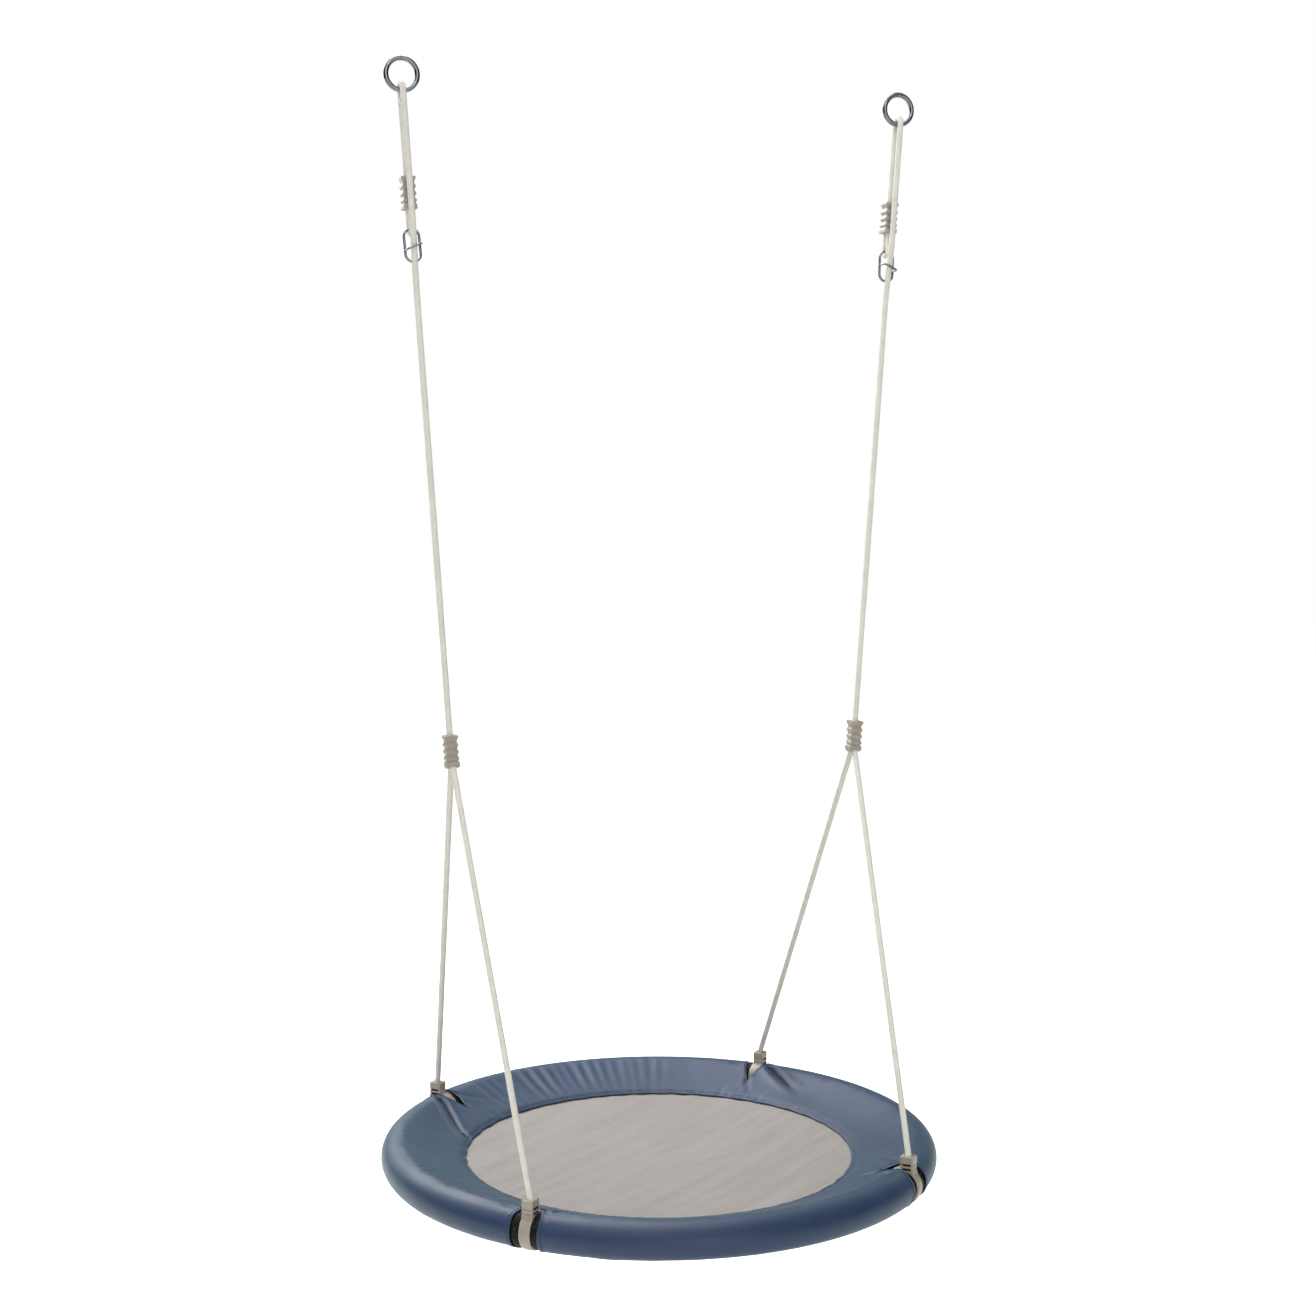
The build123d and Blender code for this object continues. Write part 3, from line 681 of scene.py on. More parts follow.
def half_clamp(rows, half, cut):
    """One half of a moulded clamp. rows hold (depth, half width x, half width y, corner radius)
    from inside the top mouth, over the outside, to inside the bottom mouth. cut is the axis the
    parting plane holds: 'y' parts left from right, 'x' parts front from back."""
    marks = set()
    for c in (45.0, 135.0):
        for k in range(-9, 10):
            marks.add(c + k * 1.0)
    for k in range(0, 181, 6):
        marks.add(float(k))
    marks.update((1.6, 178.4, 3.2, 176.8))
    angles = sorted(marks)
    # the parting plane's axis: angle 0 lies on it
    verts, grid = [], []
    for depth, wx, wy, rc in rows:
        line = []
        for k, ang in enumerate(angles):
            g = math.radians(ang)
            if cut == "y":
                c, s = math.sin(g) * half, math.cos(g)
            else:
                c, s = math.cos(g), math.sin(g) * half
            x, y = rr_point(wx, wy, rc, c, s)
            inset = 0.3 if k in (0, len(angles) - 1) else (0.08 if k in (1, len(angles) - 2) else 0.0)
            size = math.hypot(x, y)
            if size > 1.0:
                x, y = x * (1 - inset / size), y * (1 - inset / size)
            if cut == "y":
                x += 0.06 * half
            else:
                y += 0.06 * half
            line.append(len(verts))
            verts.append((x, y, depth))
        grid.append(line)
    first, last = len(verts), len(verts) + 1
    off = (0.06 * half, 0.0) if cut == "y" else (0.0, 0.06 * half)
    verts.append((*off, rows[0][0]))
    verts.append((*off, rows[-1][0]))
    faces = []
    n = len(angles)
    for a, b in zip(grid[:-1], grid[1:]):
        for j in range(n - 1):
            faces.append([a[j], a[j + 1], b[j + 1], b[j]])
    for j in range(n - 1):
        faces.append([first, grid[0][j + 1], grid[0][j]])
        faces.append([last, grid[-1][j], grid[-1][j + 1]])
    faces.append([first] + [r[0] for r in grid] + [last] + [r[-1] for r in reversed(grid)])
    return verts, faces


def place(verts, side, s0, y0):
    return [on_line(side, s0 + z, x, y0 + y) for x, y, z in verts]


HOLE = 5.3
widest = max(w for w, h in RIBS)
RIBS = [(max(widest - 1.75 * (widest - w), HOLE + 1.5), h) for w, h in RIBS]
outer = rounded([(RIBS[0][0] - 0.9, 0.0)] + RIBS + [(10.8, ADJ_LEN - 0.7), (10.0, ADJ_LEN)], 2)
adj_rows = ([(7.0, HOLE, HOLE, HOLE), (0.9, HOLE, HOLE, HOLE), (0.25, HOLE + 0.25, HOLE + 0.25, HOLE + 0.2),
             (0.0, HOLE + 0.9, HOLE + 0.9, HOLE + 0.8)]
            + [(h, w, w + 1.2, 1.5) for w, h in outer]
            + [(ADJ_LEN, HOLE + 0.9, 4.85 + HOLE + 0.9, HOLE + 0.9), (ADJ_LEN - 0.25, HOLE + 0.25, 4.85 + HOLE + 0.25, HOLE),
               (ADJ_LEN - 0.9, HOLE, 4.85 + HOLE, HOLE), (ADJ_LEN - 6.0, HOLE, 4.85 + HOLE, HOLE)])
corner = APEX_DROP + math.sqrt(FORK_NOSE ** 2 - 10.8 ** 2)
outer = rounded([(RIBS[0][0] - 0.9, 0.0)] + RIBS + [(10.8, corner)], 2)
fork_rows = ([(7.0, HOLE, HOLE, HOLE), (0.9, HOLE, HOLE, HOLE), (0.25, HOLE + 0.25, HOLE + 0.25, HOLE + 0.2),
              (0.0, HOLE + 0.9, HOLE + 0.9, HOLE + 0.8)]
             + [(h, w, w, 1.5) for w, h in outer])
for k in range(1, 9):
    a = math.radians(43.8 - 41.0 * k / 8)
    edge = 10.8 - 1.6 * (k / 8) ** 2
    fork_rows.append((APEX_DROP + FORK_NOSE * math.cos(a), edge, FORK_NOSE * math.sin(a), 1.5))

for side, name in ((-1, "left"), (1, "right")):
    for half in (-1, 1):
        v, f = half_clamp(adj_rows, half, "y")
        obj = new_object("adjuster_" + name + ("_outer" if half == side else "_inner") + "_shell",
                         place(v, side, ADJ_TOP, ADJ_Y), f, sharp=38)
        give(obj, "plastic")
        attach(obj, "hanger_" + name)
        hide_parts("adjuster_clamp_" + name + ("_outer" if half == side else "_inner"))
        v, f = half_clamp(fork_rows, half, "x")
        v = place(v, side, FORK_S, 0.0)
        # a moulded lip where the leg rope comes out
        az = CLIPS[name + ("_front" if half < 0 else "_back")]
        apex = on_line(side, APEX_S)
        d = clip_entry(az) - apex
        d /= np.linalg.norm(d)
        e1 = np.cross(d, (0, 1.0, 0))
        e1 /= np.linalg.norm(e1)
        e2 = np.cross(d, e1)
        w = np.radians(np.arange(0, 360, 12))
        lip = apex + d * 15.0 + (np.cos(w)[:, None] * e1 + np.sin(w)[:, None] * e2) * 5.7
        v, f = merge([(np.array(v), f), tube_along("lip", lip, 1.0, closed=True, around=10)])
        obj = new_object("fork_" + name + ("_front" if half < 0 else "_back") + "_shell", v, f, sharp=38)
        give(obj, "plastic")
        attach(obj, "fork_" + name)
        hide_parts("fork_clamp_" + name + ("_front" if half < 0 else "_back"))


# ----------------------------------------------------------------- rim cover
TIP_TOP = (313.4, MAT_EDGE_Z + 3.0)
TIP_LOW = (314.2, MAT_EDGE_Z - 1.6)


def tangent_point(tip, sign):
    dx, dy = tip[0] - RIM_R, tip[1]
    d = math.hypot(dx, dy)
    ang = math.atan2(dy, dx) - sign * math.acos(COVER_R / d)
    return ang, math.sqrt(d * d - COVER_R ** 2)


ang_top, len_top = tangent_point(TIP_TOP, 1)
ang_low, len_low = tangent_point(TIP_LOW, -1)
ang_top = ang_top % (2 * math.pi)
ang_low = (ang_low + math.pi) % (2 * math.pi) - math.pi
len_arc = COVER_R * (ang_top - ang_low)
TOTAL = len_top + len_arc + len_low


def section(v):
    """Radius, height over the rim's centreline and outward normal, v millimetres along the cover's section."""
    if v < len_top:
        k = v / len_top
        tx, tz = RIM_R + COVER_R * math.cos(ang_top), COVER_R * math.sin(ang_top)
        r, z = TIP_TOP[0] + (tx - TIP_TOP[0]) * k, TIP_TOP[1] + (tz - TIP_TOP[1]) * k
        # the flap hangs a little between the foam and the mat
        z -= 2.2 * math.sin(math.pi * k) ** 1.3
        return r, z, math.cos(ang_top), math.sin(ang_top)
    if v < len_top + len_arc:
        a = ang_top - (v - len_top) / COVER_R
        return RIM_R + COVER_R * math.cos(a), COVER_R * math.sin(a), math.cos(a), math.sin(a)
    k = (v - len_top - len_arc) / len_low
    tx, tz = RIM_R + COVER_R * math.cos(ang_low), COVER_R * math.sin(ang_low)
    r, z = tx + (TIP_LOW[0] - tx) * k, tz + (TIP_LOW[1] - tz) * k
    z += 1.2 * math.sin(math.pi * k) ** 1.3
    return r, z, math.cos(ang_low), math.sin(ang_low)


ROWS, COLS = 53, 100
vs = np.linspace(0, TOTAL, ROWS)
sec = np.array([section(v) for v in vs])
NOTCH_R = [372.0, 388.0, 404.0, 424.0, 430.0, 438.0, 470.0]
NOTCH_T = [0.0, 6.2, 10.8, 15.5, 19.5, 24.0, 25.0]
notch_t = np.interp(sec[:, 0], NOTCH_R, NOTCH_T)
# the cover was never fitted quite square to the clips: how far each cut edge stands off, inside and outside
SKEW = {("left_back", 0): (0.4, 0.95), ("left_back", 1): (1.6, 1.1), ("left_front", 0): (0.95, 0.86),
        ("left_front", 1): (1.1, 1.0), ("right_front", 0): (1.5, 1.1), ("right_front", 1): (0.25, 0.95),
        ("right_back", 0): (1.5, 1.1), ("right_back", 1): (0.45, 0.95)}


def stand_off(place_at, end, i):
    r, t = sec[i, 0], notch_t[i]
    if t <= 0:
        return 0.0
    k_in, k_out = SKEW[(place_at, end)]
    t *= float(np.interp(r, [400, 440], [k_in, k_out]))
    return max(t, float(np.interp(r, [394, 407], [0.0, 9.8])))


order = ["left_back", "left_front", "right_front", "right_back"]
starts = [CLIPS[o] for o in order]
spans = [(starts[k], starts[(k + 1) % 4] + (360 if k == 3 else 0)) for k in range(4)]
spans[2] = (starts[2], starts[3] + 360)
spans[3] = (starts[3], starts[0])

index = np.full((4, COLS + 1, ROWS), -1, int)
pos, nor, fabric, plan = [], [], [], []
for q, (a0, a1) in enumerate(spans):
    for j in range(COLS + 1):
        for i in range(ROWS):
            if j == COLS and notch_t[i] <= 0:
                continue
            r, z, nr, nz = sec[i]
            d0 = math.degrees(stand_off(order[q], 0, i) / r)
            d1 = math.degrees(stand_off(order[(q + 1) % 4], 1, i) / r)
            # columns crowd a little towards the notches
            k = j / COLS
            k = k - 0.55 * math.sin(2 * math.pi * k) / (2 * math.pi) * 0.6
            az = a0 + d0 + k * (a1 - a0 - d0 - d1)
            c, s = math.cos(math.radians(az)), math.sin(math.radians(az))
            index[q, j, i] = len(pos)
            pos.append((r * c, r * s, RIM_Z + z))
            nor.append((nr * c, nr * s, nz))
            fabric.append((math.radians(az) * RIM_R, vs[i], 0))
            plan.append((r, az % 360, vs[i]))
for q in range(4):
    for i in range(ROWS):
        if index[q, COLS, i] < 0:
            index[q, COLS, i] = index[(q + 1) % 4, 0, i]
pos, nor, fabric, plan = map(np.array, (pos, nor, fabric, plan))
faces = []
for q in range(4):
    for j in range(COLS):
        for i in range(ROWS - 1):
            faces.append([index[q, j, i], index[q, j + 1, i], index[q, j + 1, i + 1], index[q, j, i + 1]])
faces = [[int(x) for x in f] for f in faces]

# folds and puckers
az_r, v_mm, r_mm = np.radians(plan[:, 1]), plan[:, 2], plan[:, 0]
rng = np.random.default_rng(7)


def waves(az, low, high, count, seed):
    g = np.random.default_rng(seed)
    out = np.zeros_like(az)
    for _ in range(count):
        out += np.cos(g.integers(low, high) * az + g.uniform(0, 2 * math.pi)) * g.uniform(0.4, 1.0)
    return out / math.sqrt(count)


def window(az_deg, centre, half):
    d = np.abs((az_deg - centre + 180) % 360 - 180)
    return np.clip(1 - (d / half) ** 2, 0, 1) ** 1.5


top_side = v_mm < len_top + 26
move = np.zeros(len(pos))
# puckers drawn in by the seam at the mat
move += 0.55 * waves(az_r, 70, 150, 7, 1) * np.exp(-(v_mm / 26.0) ** 2)
move += 0.35 * waves(az_r, 60, 120, 7, 2) * np.exp(-((TOTAL - v_mm) / 26.0) ** 2)
move += 0.35 * waves(az_r, 14, 42, 6, 4) * np.sin(math.pi * np.clip(v_mm / TOTAL, 0, 1))
# scalloped inner edge
edge_in = 1.1 * waves(az_r, 34, 58, 5, 5) * np.exp(-(v_mm / 14.0) ** 2)


def crease(xy, top_side, path, depth, width, fade=1.0):
    """A pulled fold along a line of (radius, azimuth) points on the top of the cover."""
    pts = np.array([(r * math.cos(math.radians(a)), r * math.sin(math.radians(a))) for r, a in path])
    best = np.full(len(xy), 1e9)
    along = np.zeros(len(xy))
    total = np.concatenate(([0], np.cumsum(np.linalg.norm(np.diff(pts, axis=0), axis=1))))
    for k in range(len(pts) - 1):
        d = pts[k + 1] - pts[k]
        t = np.clip(((xy - pts[k]) @ d) / (d @ d), 0, 1)
        dist = np.linalg.norm(xy - (pts[k] + t[:, None] * d), axis=1)
        near = dist < best
        best[near] = dist[near]
        along[near] = (total[k] + t * np.linalg.norm(d))[near] / total[-1]
    strength = (1 - along) ** fade * top_side
    valley = -depth * np.exp(-(best / width) ** 2)
    ridge = 0.42 * depth * np.exp(-((best - 2.1 * width) / (1.1 * width)) ** 2)
    return (valley + ridge) * strength


FOLDS = [([(411, 137.6), (396, 138.9), (366, 143.7), (346, 147.9), (336, 149.8), (318, 153.4)], 5.2, 5.0, 0.5),
         ([(409, 41.6), (396, 39.3), (382, 35.7), (371, 32.3), (361, 27.7)], 5.2, 5.6, 0.9),
         ([(404, 131.0), (380, 127.5), (352, 121.0)], 1.4, 6.0, 1.0),
         ([(406, 229.9), (388, 233.0), (352, 238.0)], 3.2, 4.6, 0.9),
         ([(406, 221.6), (388, 218.0), (350, 212.0)], 1.8, 5.5, 1.0),
         ([(406, 318.4), (384, 323.0), (352, 331.0)], 2.0, 5.5, 1.0),
         ([(406, 310.0), (384, 305.0), (350, 297.0)], 2.4, 5.0, 0.9),
         ([(370, 134.25), (350, 133.0), (326, 131.0)], 1.8, 4.5, 0.7),
         ([(370, 45.75), (352, 44.5), (328, 42.0)], 1.2, 4.5, 0.8),
         ([(370, 225.75), (350, 227.0), (326, 229.0)], 1.4, 4.5, 0.8),
         ([(370, 314.25), (350, 313.0), (326, 311.0)], 1.5, 4.5, 0.8),
         ([(330, 150.5), (322, 151.5), (314, 152.0)], 2.2, 3.5, 0.2)]


def late_moves(xy, v):
    """Pulled folds and puckers, made after the cloth has settled: how far out each point moves."""
    az = np.arctan2(xy[:, 1], xy[:, 0])
    az_deg = np.degrees(az) % 360
    top = v < len_top + 26
    f = sum(crease(xy, top, *item) for item in FOLDS)
    radial = np.exp(-((v - len_top * 0.72) / 42.0) ** 2) * (v < len_top + 45)
    back = window(az_deg, 98, 34) + 0.35 * window(az_deg, 190, 60) + 0.15 * window(az_deg, 290, 50)
    w = waves(az, 84, 128, 6, 3)
    return f, 1.5 * back * radial * np.sign(w) * np.abs(w) ** 0.8 + f


def lie_on_foam(points):
    """The fabric lies on the foam, which gives a little away from the clips."""
    flat_r = np.hypot(points[:, 0], points[:, 1])
    dx, dz = flat_r - RIM_R, points[:, 2] - RIM_Z
    az = np.degrees(np.arctan2(points[:, 1], points[:, 0]))
    from_clip = np.min([np.abs((az - a + 180) % 360 - 180) for a in CLIPS.values()], axis=0) * math.pi / 180 * RIM_R
    least = np.interp(from_clip, [20, 27, 60, 80], [28.55, 25.3, 25.3, 28.3])
    least = 28.2 + (least - 28.2) * np.clip((10.0 - dx) / 22.0, 0, 1)
    dist = np.hypot(dx, dz)
    push = np.where(dist < least, least / dist, 1.0)
    scale = (RIM_R + dx * push) / flat_r
    return np.column_stack([points[:, 0] * scale, points[:, 1] * scale, RIM_Z + dz * push])


# the hem round each notch stands a little proud
hem = np.zeros(len(pos))
for q in range(4):
    for i in range(ROWS):
        if notch_t[i] > 0:
            for j, h in ((0, 0.55), (1, 0.45), (COLS, 0.55), (COLS - 1, 0.45)):
                hem[index[q, j, i]] = max(hem[index[q, j, i]], h)
pos = pos + nor * move[:, None]
pos[:, 0] += edge_in * np.cos(az_r)
pos[:, 1] += edge_in * np.sin(az_r)

cover = new_object("rim_cover_fabric", pos, faces)
att = cover.data.attributes.new("fab", "FLOAT_VECTOR", "POINT")
att.data.foreach_set("vector", fabric.astype(np.float32).ravel())
att = cover.data.attributes.new("outwards", "FLOAT_VECTOR", "POINT")
att.data.foreach_set("vector", nor.astype(np.float32).ravel())
att = cover.data.attributes.new("hem", "FLOAT", "POINT")
att.data.foreach_set("value", hem.astype(np.float32))


def applied(obj):
    dg = bpy.context.evaluated_depsgraph_get()
    mesh = bpy.data.meshes.new_from_object(obj.evaluated_get(dg), preserve_all_data_layers=True, depsgraph=dg)
    obj.modifiers.clear()
    obj.data = mesh
    return obj


def co_of(obj):
    out = np.zeros(len(obj.data.vertices) * 3, np.float32)
    obj.data.vertices.foreach_get("co", out)
    return out.reshape(-1, 3).astype(float)


def inflate(obj, pins, cap, pressure=4.0, grow=0.01, frames=20):
    """Cloth under air pressure, held at its pins. A point moves at most cap millimetres."""
    rest = co_of(obj)
    group = obj.vertex_groups.new(name="pins")
    for v, w in pins.items():
        group.add([v], w, "REPLACE")
    mod = obj.modifiers.new("cloth", "CLOTH")
    st = mod.settings
    st.quality = 5
    st.mass = 0.3
    st.tension_stiffness = st.compression_stiffness = 15
    st.shear_stiffness = 5
    st.bending_stiffness = 0.4
    st.use_pressure = True
    st.uniform_pressure_force = pressure
    st.effector_weights.gravity = 0
    st.vertex_group_mass = "pins"
    st.pin_stiffness = 1.0
    st.shrink_min = -grow
    mod.collision_settings.use_collision = False
    mod.point_cache.frame_start, mod.point_cache.frame_end = 1, frames
    for f in range(1, frames + 1):
        scene.frame_set(f)
    dg = bpy.context.evaluated_depsgraph_get()
    ev = obj.evaluated_get(dg)
    now = np.zeros(len(rest) * 3, np.float32)
    ev.data.vertices.foreach_get("co", now)
    obj.modifiers.clear()
    obj.vertex_groups.clear()
    scene.frame_set(1)
    d = now.reshape(-1, 3) - rest
    size = np.linalg.norm(d, axis=1)
    d *= np.minimum(1, cap * MM / np.maximum(size, 1e-9))[:, None]
    obj.data.vertices.foreach_set("co", (rest + d).astype(np.float32).ravel())
    obj.data.update()
    return size / MM


pins = {}
for q in range(4):
    for j in range(COLS + 1):
        for i in (0, 1, ROWS - 2, ROWS - 1):
            pins[int(index[q, j, i])] = 1.0
for q in range(4):
    for i in range(ROWS):
        if notch_t[i] > 0:
            pins[int(index[q, 0, i])] = pins[int(index[q, COLS, i])] = 1.0
inflate(cover, pins, 1.5)

# the fabric's own points, used again for its stitches
cloth = co_of(cover) / MM
cloth = lie_on_foam(cloth + nor * (late_moves(cloth[:, :2], v_mm)[1] + hem)[:, None])
mod = cover.modifiers.new("fine", "SUBSURF")
mod.levels = mod.render_levels = 1
applied(cover)


def read_attribute(obj, name, width):
    out = np.zeros(len(obj.data.vertices) * width, np.float32)
    obj.data.attributes[name].data.foreach_get("vector" if width == 3 else "value", out)
    return out.reshape(-1, 3).astype(float) if width == 3 else out.astype(float)


fine = co_of(cover) / MM
fold, late = late_moves(fine[:, :2], read_attribute(cover, "fab", 3)[:, 1])
out_dir = read_attribute(cover, "outwards", 3)
out_dir /= np.maximum(np.linalg.norm(out_dir, axis=1), 1e-6)[:, None]
fine = lie_on_foam(fine + out_dir * (late + read_attribute(cover, "hem", 1))[:, None])
cover.data.vertices.foreach_set("co", (fine * MM).astype(np.float32).ravel())
# painted shade: how deep each crease valley lies, read by the cover material to darken its colour there
att = cover.data.attributes.new("fold", "FLOAT", "POINT")
att.data.foreach_set("value", np.clip(-fold / 2.4, 0, 1).astype(np.float32))
cover.data.attributes.remove(cover.data.attributes["outwards"])
cover.data.attributes.remove(cover.data.attributes["hem"])
cover.data.update()
mod = cover.modifiers.new("thick", "SOLIDIFY")
mod.thickness = 1.3 * MM
mod.offset = -1.0
applied(cover)
cover.data.shade_smooth()
give(cover, "cover")
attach(cover, "seat")
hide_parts("rim_cover")


# ----------------------------------------------------------------- stitches
def stitch_row(line, normals, pitch, length, radius):
    """Short rounded stitches along a line of points lying on the fabric."""
    s = np.concatenate(([0], np.cumsum(np.linalg.norm(np.diff(line, axis=0), axis=1))))
    parts = []
    count = int(s[-1] / pitch)
    at = lambda x, arr: np.array([np.interp(x, s, arr[:, k]) for k in range(3)])
    for k in range(count):
        m = (k + 0.5) * pitch
        a, b = at(m - length / 2, line), at(m + length / 2, line)
        n = at(m, normals)
        n /= np.linalg.norm(n)
        pts = []
        for w, lift in ((0.0, -0.35), (0.18, 0.18), (0.5, 0.34), (0.82, 0.18), (1.0, -0.35)):
            pts.append(a + (b - a) * w + n * lift)
        parts.append(tube_along("st", pts, radius, around=6))
    return parts


def surface_line(points_index, frac_to=None, k=0.0):
    a = cloth[points_index]
    n = nor[points_index]
    if frac_to is not None:
        a = a * (1 - k) + cloth[frac_to] * k
        n = n * (1 - k) + nor[frac_to] * k
    return a, n / np.linalg.norm(n, axis=1)[:, None]


rows_at = lambda v: min(int(v / (TOTAL / (ROWS - 1))), ROWS - 2)
parts = []
for v in (5.0, 9.5):
    i = rows_at(v)
    k = v / (TOTAL / (ROWS - 1)) - i
    ring_a = np.concatenate([index[q, :COLS, i] for q in range(4)] + [index[0, :1, i]])
    ring_b = np.concatenate([index[q, :COLS, i + 1] for q in range(4)] + [index[0, :1, i + 1]])
    line, n = surface_line(ring_a, ring_b, k)
    parts += stitch_row(line, n, 5.4, 3.9, 0.42)
open_rows = [i for i in range(ROWS) if notch_t[i] > 0]
for q in range(4):
    for j0, j1 in ((1, 2), (COLS - 1, COLS - 2)):
        line, n = surface_line(index[q, j0, open_rows], index[q, j1, open_rows], 0.15)
        parts += stitch_row(line, n, 5.4, 3.9, 0.42)
v, f = merge(parts)
stitches = new_object("cover_stitching", v, f)
give(stitches, "thread")
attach(stitches, "seat")

# ----------------------------------------------------------------------- mat
R_N, A_N = 44, 288
verts, fab = [(0, 0, 0)], [(0, 0, 0)]
radii = np.linspace(0, MAT_R + 4.0, R_N + 1)[1:]
g = np.random.default_rng(11)
streaks = [(g.uniform(-0.30, 0.10), g.uniform(0, 6.28), g.uniform(0.5, 1.0), g.uniform(0.7, 1.6)) for _ in range(5)]
for r in radii:
    for k in range(A_N):
        a = 2 * math.pi * k / A_N
        verts.append((r * math.cos(a), r * math.sin(a), 0))
        fab.append(verts[-1])
verts, fab = np.array(verts, float), np.array(fab, float)
rr = np.hypot(verts[:, 0], verts[:, 1])
z = MAT_EDGE_Z - MAT_SAG * (1 - np.clip(rr / MAT_R, 0, 1) ** 2)
inside = np.clip(1 - (rr / MAT_R) ** 4, 0, 1)
for tilt_a, ph, amp, wl in streaks:
    # long shallow ripples of cloth drawn tight from side to side
    c, s = math.cos(1.75 + tilt_a), math.sin(1.75 + tilt_a)
    u = verts[:, 0] * c + verts[:, 1] * s
    z += 0.3 * amp * np.sin(2 * math.pi * u / (34.0 * wl) + ph) * inside
ang = np.arctan2(verts[:, 1], verts[:, 0])
z += 0.5 * waves(ang, 30, 60, 6, 21) * np.exp(-((MAT_R - rr) / 34.0) ** 2)
verts[:, 2] = RIM_Z + z
faces = [[0, 1 + k, 1 + (k + 1) % A_N] for k in range(A_N)]
for i in range(R_N - 1):
    for k in range(A_N):
        a, b = 1 + i * A_N + k, 1 + i * A_N + (k + 1) % A_N
        faces.append([a, b, b + A_N, a + A_N])
mat = new_object("seat_mat_mesh", verts, faces)
turn = math.radians(38)
rot = np.column_stack([fab[:, 0] * math.cos(turn) + fab[:, 1] * math.sin(turn),
                       -fab[:, 0] * math.sin(turn) + fab[:, 1] * math.cos(turn), np.zeros(len(fab))])
att = mat.data.attributes.new("fab", "FLOAT_VECTOR", "POINT")
att.data.foreach_set("vector", rot.astype(np.float32).ravel())
if mat.data.polygons[0].normal.z < 0:
    mat.data.flip_normals()
mod = mat.modifiers.new("thick", "SOLIDIFY")
mod.thickness = MAT_T * MM
mod.offset = 0.0
applied(mat)
mat.data.shade_smooth()
give(mat, "mat")
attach(mat, "seat")
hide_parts("seat_mat")

# webbing sewn round the mat's edge, under the cover's flap
prof = [(315.0, -9.95), (315.0, -8.75), (315.6, -8.45), (334.2, -8.45), (334.8, -8.75), (334.8, -9.95)]
verts, faces = [], []
N = 300
for k in range(N):
    a = 2 * math.pi * k / N
    for r, z in prof:
        verts.append((r * math.cos(a), r * math.sin(a), RIM_Z + z))
m = len(prof)
for k in range(N):
    q = (k + 1) % N
    for i in range(m):
        j = (i + 1) % m
        faces.append([k * m + i, q * m + i, q * m + j, k * m + j])
tape = new_object("mat_edge_tape", verts, faces, sharp=50)
give(tape, "webbing")
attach(tape, "seat")
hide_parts("mat_edge_webbing")

# --------------------------------------------------------------- foam sleeves
quarter = {"left": (CLIPS["left_back"], CLIPS["left_front"]), "front": (CLIPS["left_front"], CLIPS["right_front"]),
           "right": (CLIPS["right_front"], CLIPS["right_back"] + 360), "back": (CLIPS["right_back"], CLIPS["left_back"])}
for name, (a0, a1) in quarter.items():
    g = np.random.default_rng({"left": 31, "front": 32, "right": 33, "back": 34}[name])
    lip = math.degrees(10.3 / RIM_R)
    near = [0.02, lip - 0.12, lip, lip + 0.18, lip + 0.5]
    fine = list(np.arange(lip + 0.9, lip + 4.0, 0.45))
    mid = list(np.linspace(lip + 4.4, a1 - a0 - lip - 4.4, 60))
    alphas = near + fine + mid + [a1 - a0 - x for x in reversed(near + fine)]
    around = 48
    verts, faces = [], []
    for k, al in enumerate(alphas):
        az = math.radians(a0 + al)
        from_end = min(al, a1 - a0 - al)
        in_mm = math.radians(from_end) * RIM_R
        give_way = 3.9 * min(max((in_mm - 21) / 6, 0), 1)
        out = 25.5 if from_end < lip - 0.06 else (26.9 if from_end < lip + 0.1 else 27.15)
        out -= give_way
        for ring_r in (out, 16.3):
            for m_ in range(around):
                th = 2 * math.pi * m_ / around
                rad = ring_r + (g.uniform(-0.16, 0.16) if ring_r > 20 and from_end > lip else 0)
                r = RIM_R + rad * math.cos(th)
                verts.append((r * math.cos(az), r * math.sin(az), RIM_Z + rad * math.sin(th)))
    n = 2 * around
    for k in range(len(alphas) - 1):
        for part in (0, around):
            for m_ in range(around):
                q = (m_ + 1) % around
                a, b = k * n + part + m_, k * n + part + q
                faces.append([a, b, b + n, a + n])
    for k in (0, len(alphas) - 1):
        for m_ in range(around):
            q = (m_ + 1) % around
            faces.append([k * n + m_, k * n + q, k * n + around + q, k * n + around + m_])
    foam = new_object("foam_sleeve_" + name + "_soft", verts, faces, sharp=60)
    give(foam, "foam")
    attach(foam, "seat")
    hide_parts("foam_sleeve_" + name)


# --------------------------------------------------------------------- clips
def boolean(obj, other, how):
    mod = obj.modifiers.new("cut", "BOOLEAN")
    mod.operation = how
    mod.solver = "EXACT"
    mod.object = other
    applied(obj)
    bpy.data.objects.remove(other)
    return obj


def brick(cx, cy, cz, hx, hy, hz, edge=0.0):
    bm = bmesh.new()
    bmesh.ops.create_cube(bm, size=2.0)
    for vert in bm.verts:
        vert.co = Vector((cx + vert.co.x * hx, cy + vert.co.y * hy, cz + vert.co.z * hz)) * MM
    if edge:
        bmesh.ops.bevel(bm, geom=list(bm.edges), offset=edge * MM, segments=3, affect="EDGES", profile=0.5)
    mesh = bpy.data.meshes.new("brick")
    bm.to_mesh(mesh)
    bm.free()
    obj = bpy.data.objects.new("brick", mesh)
    scene.collection.objects.link(obj)
    return obj


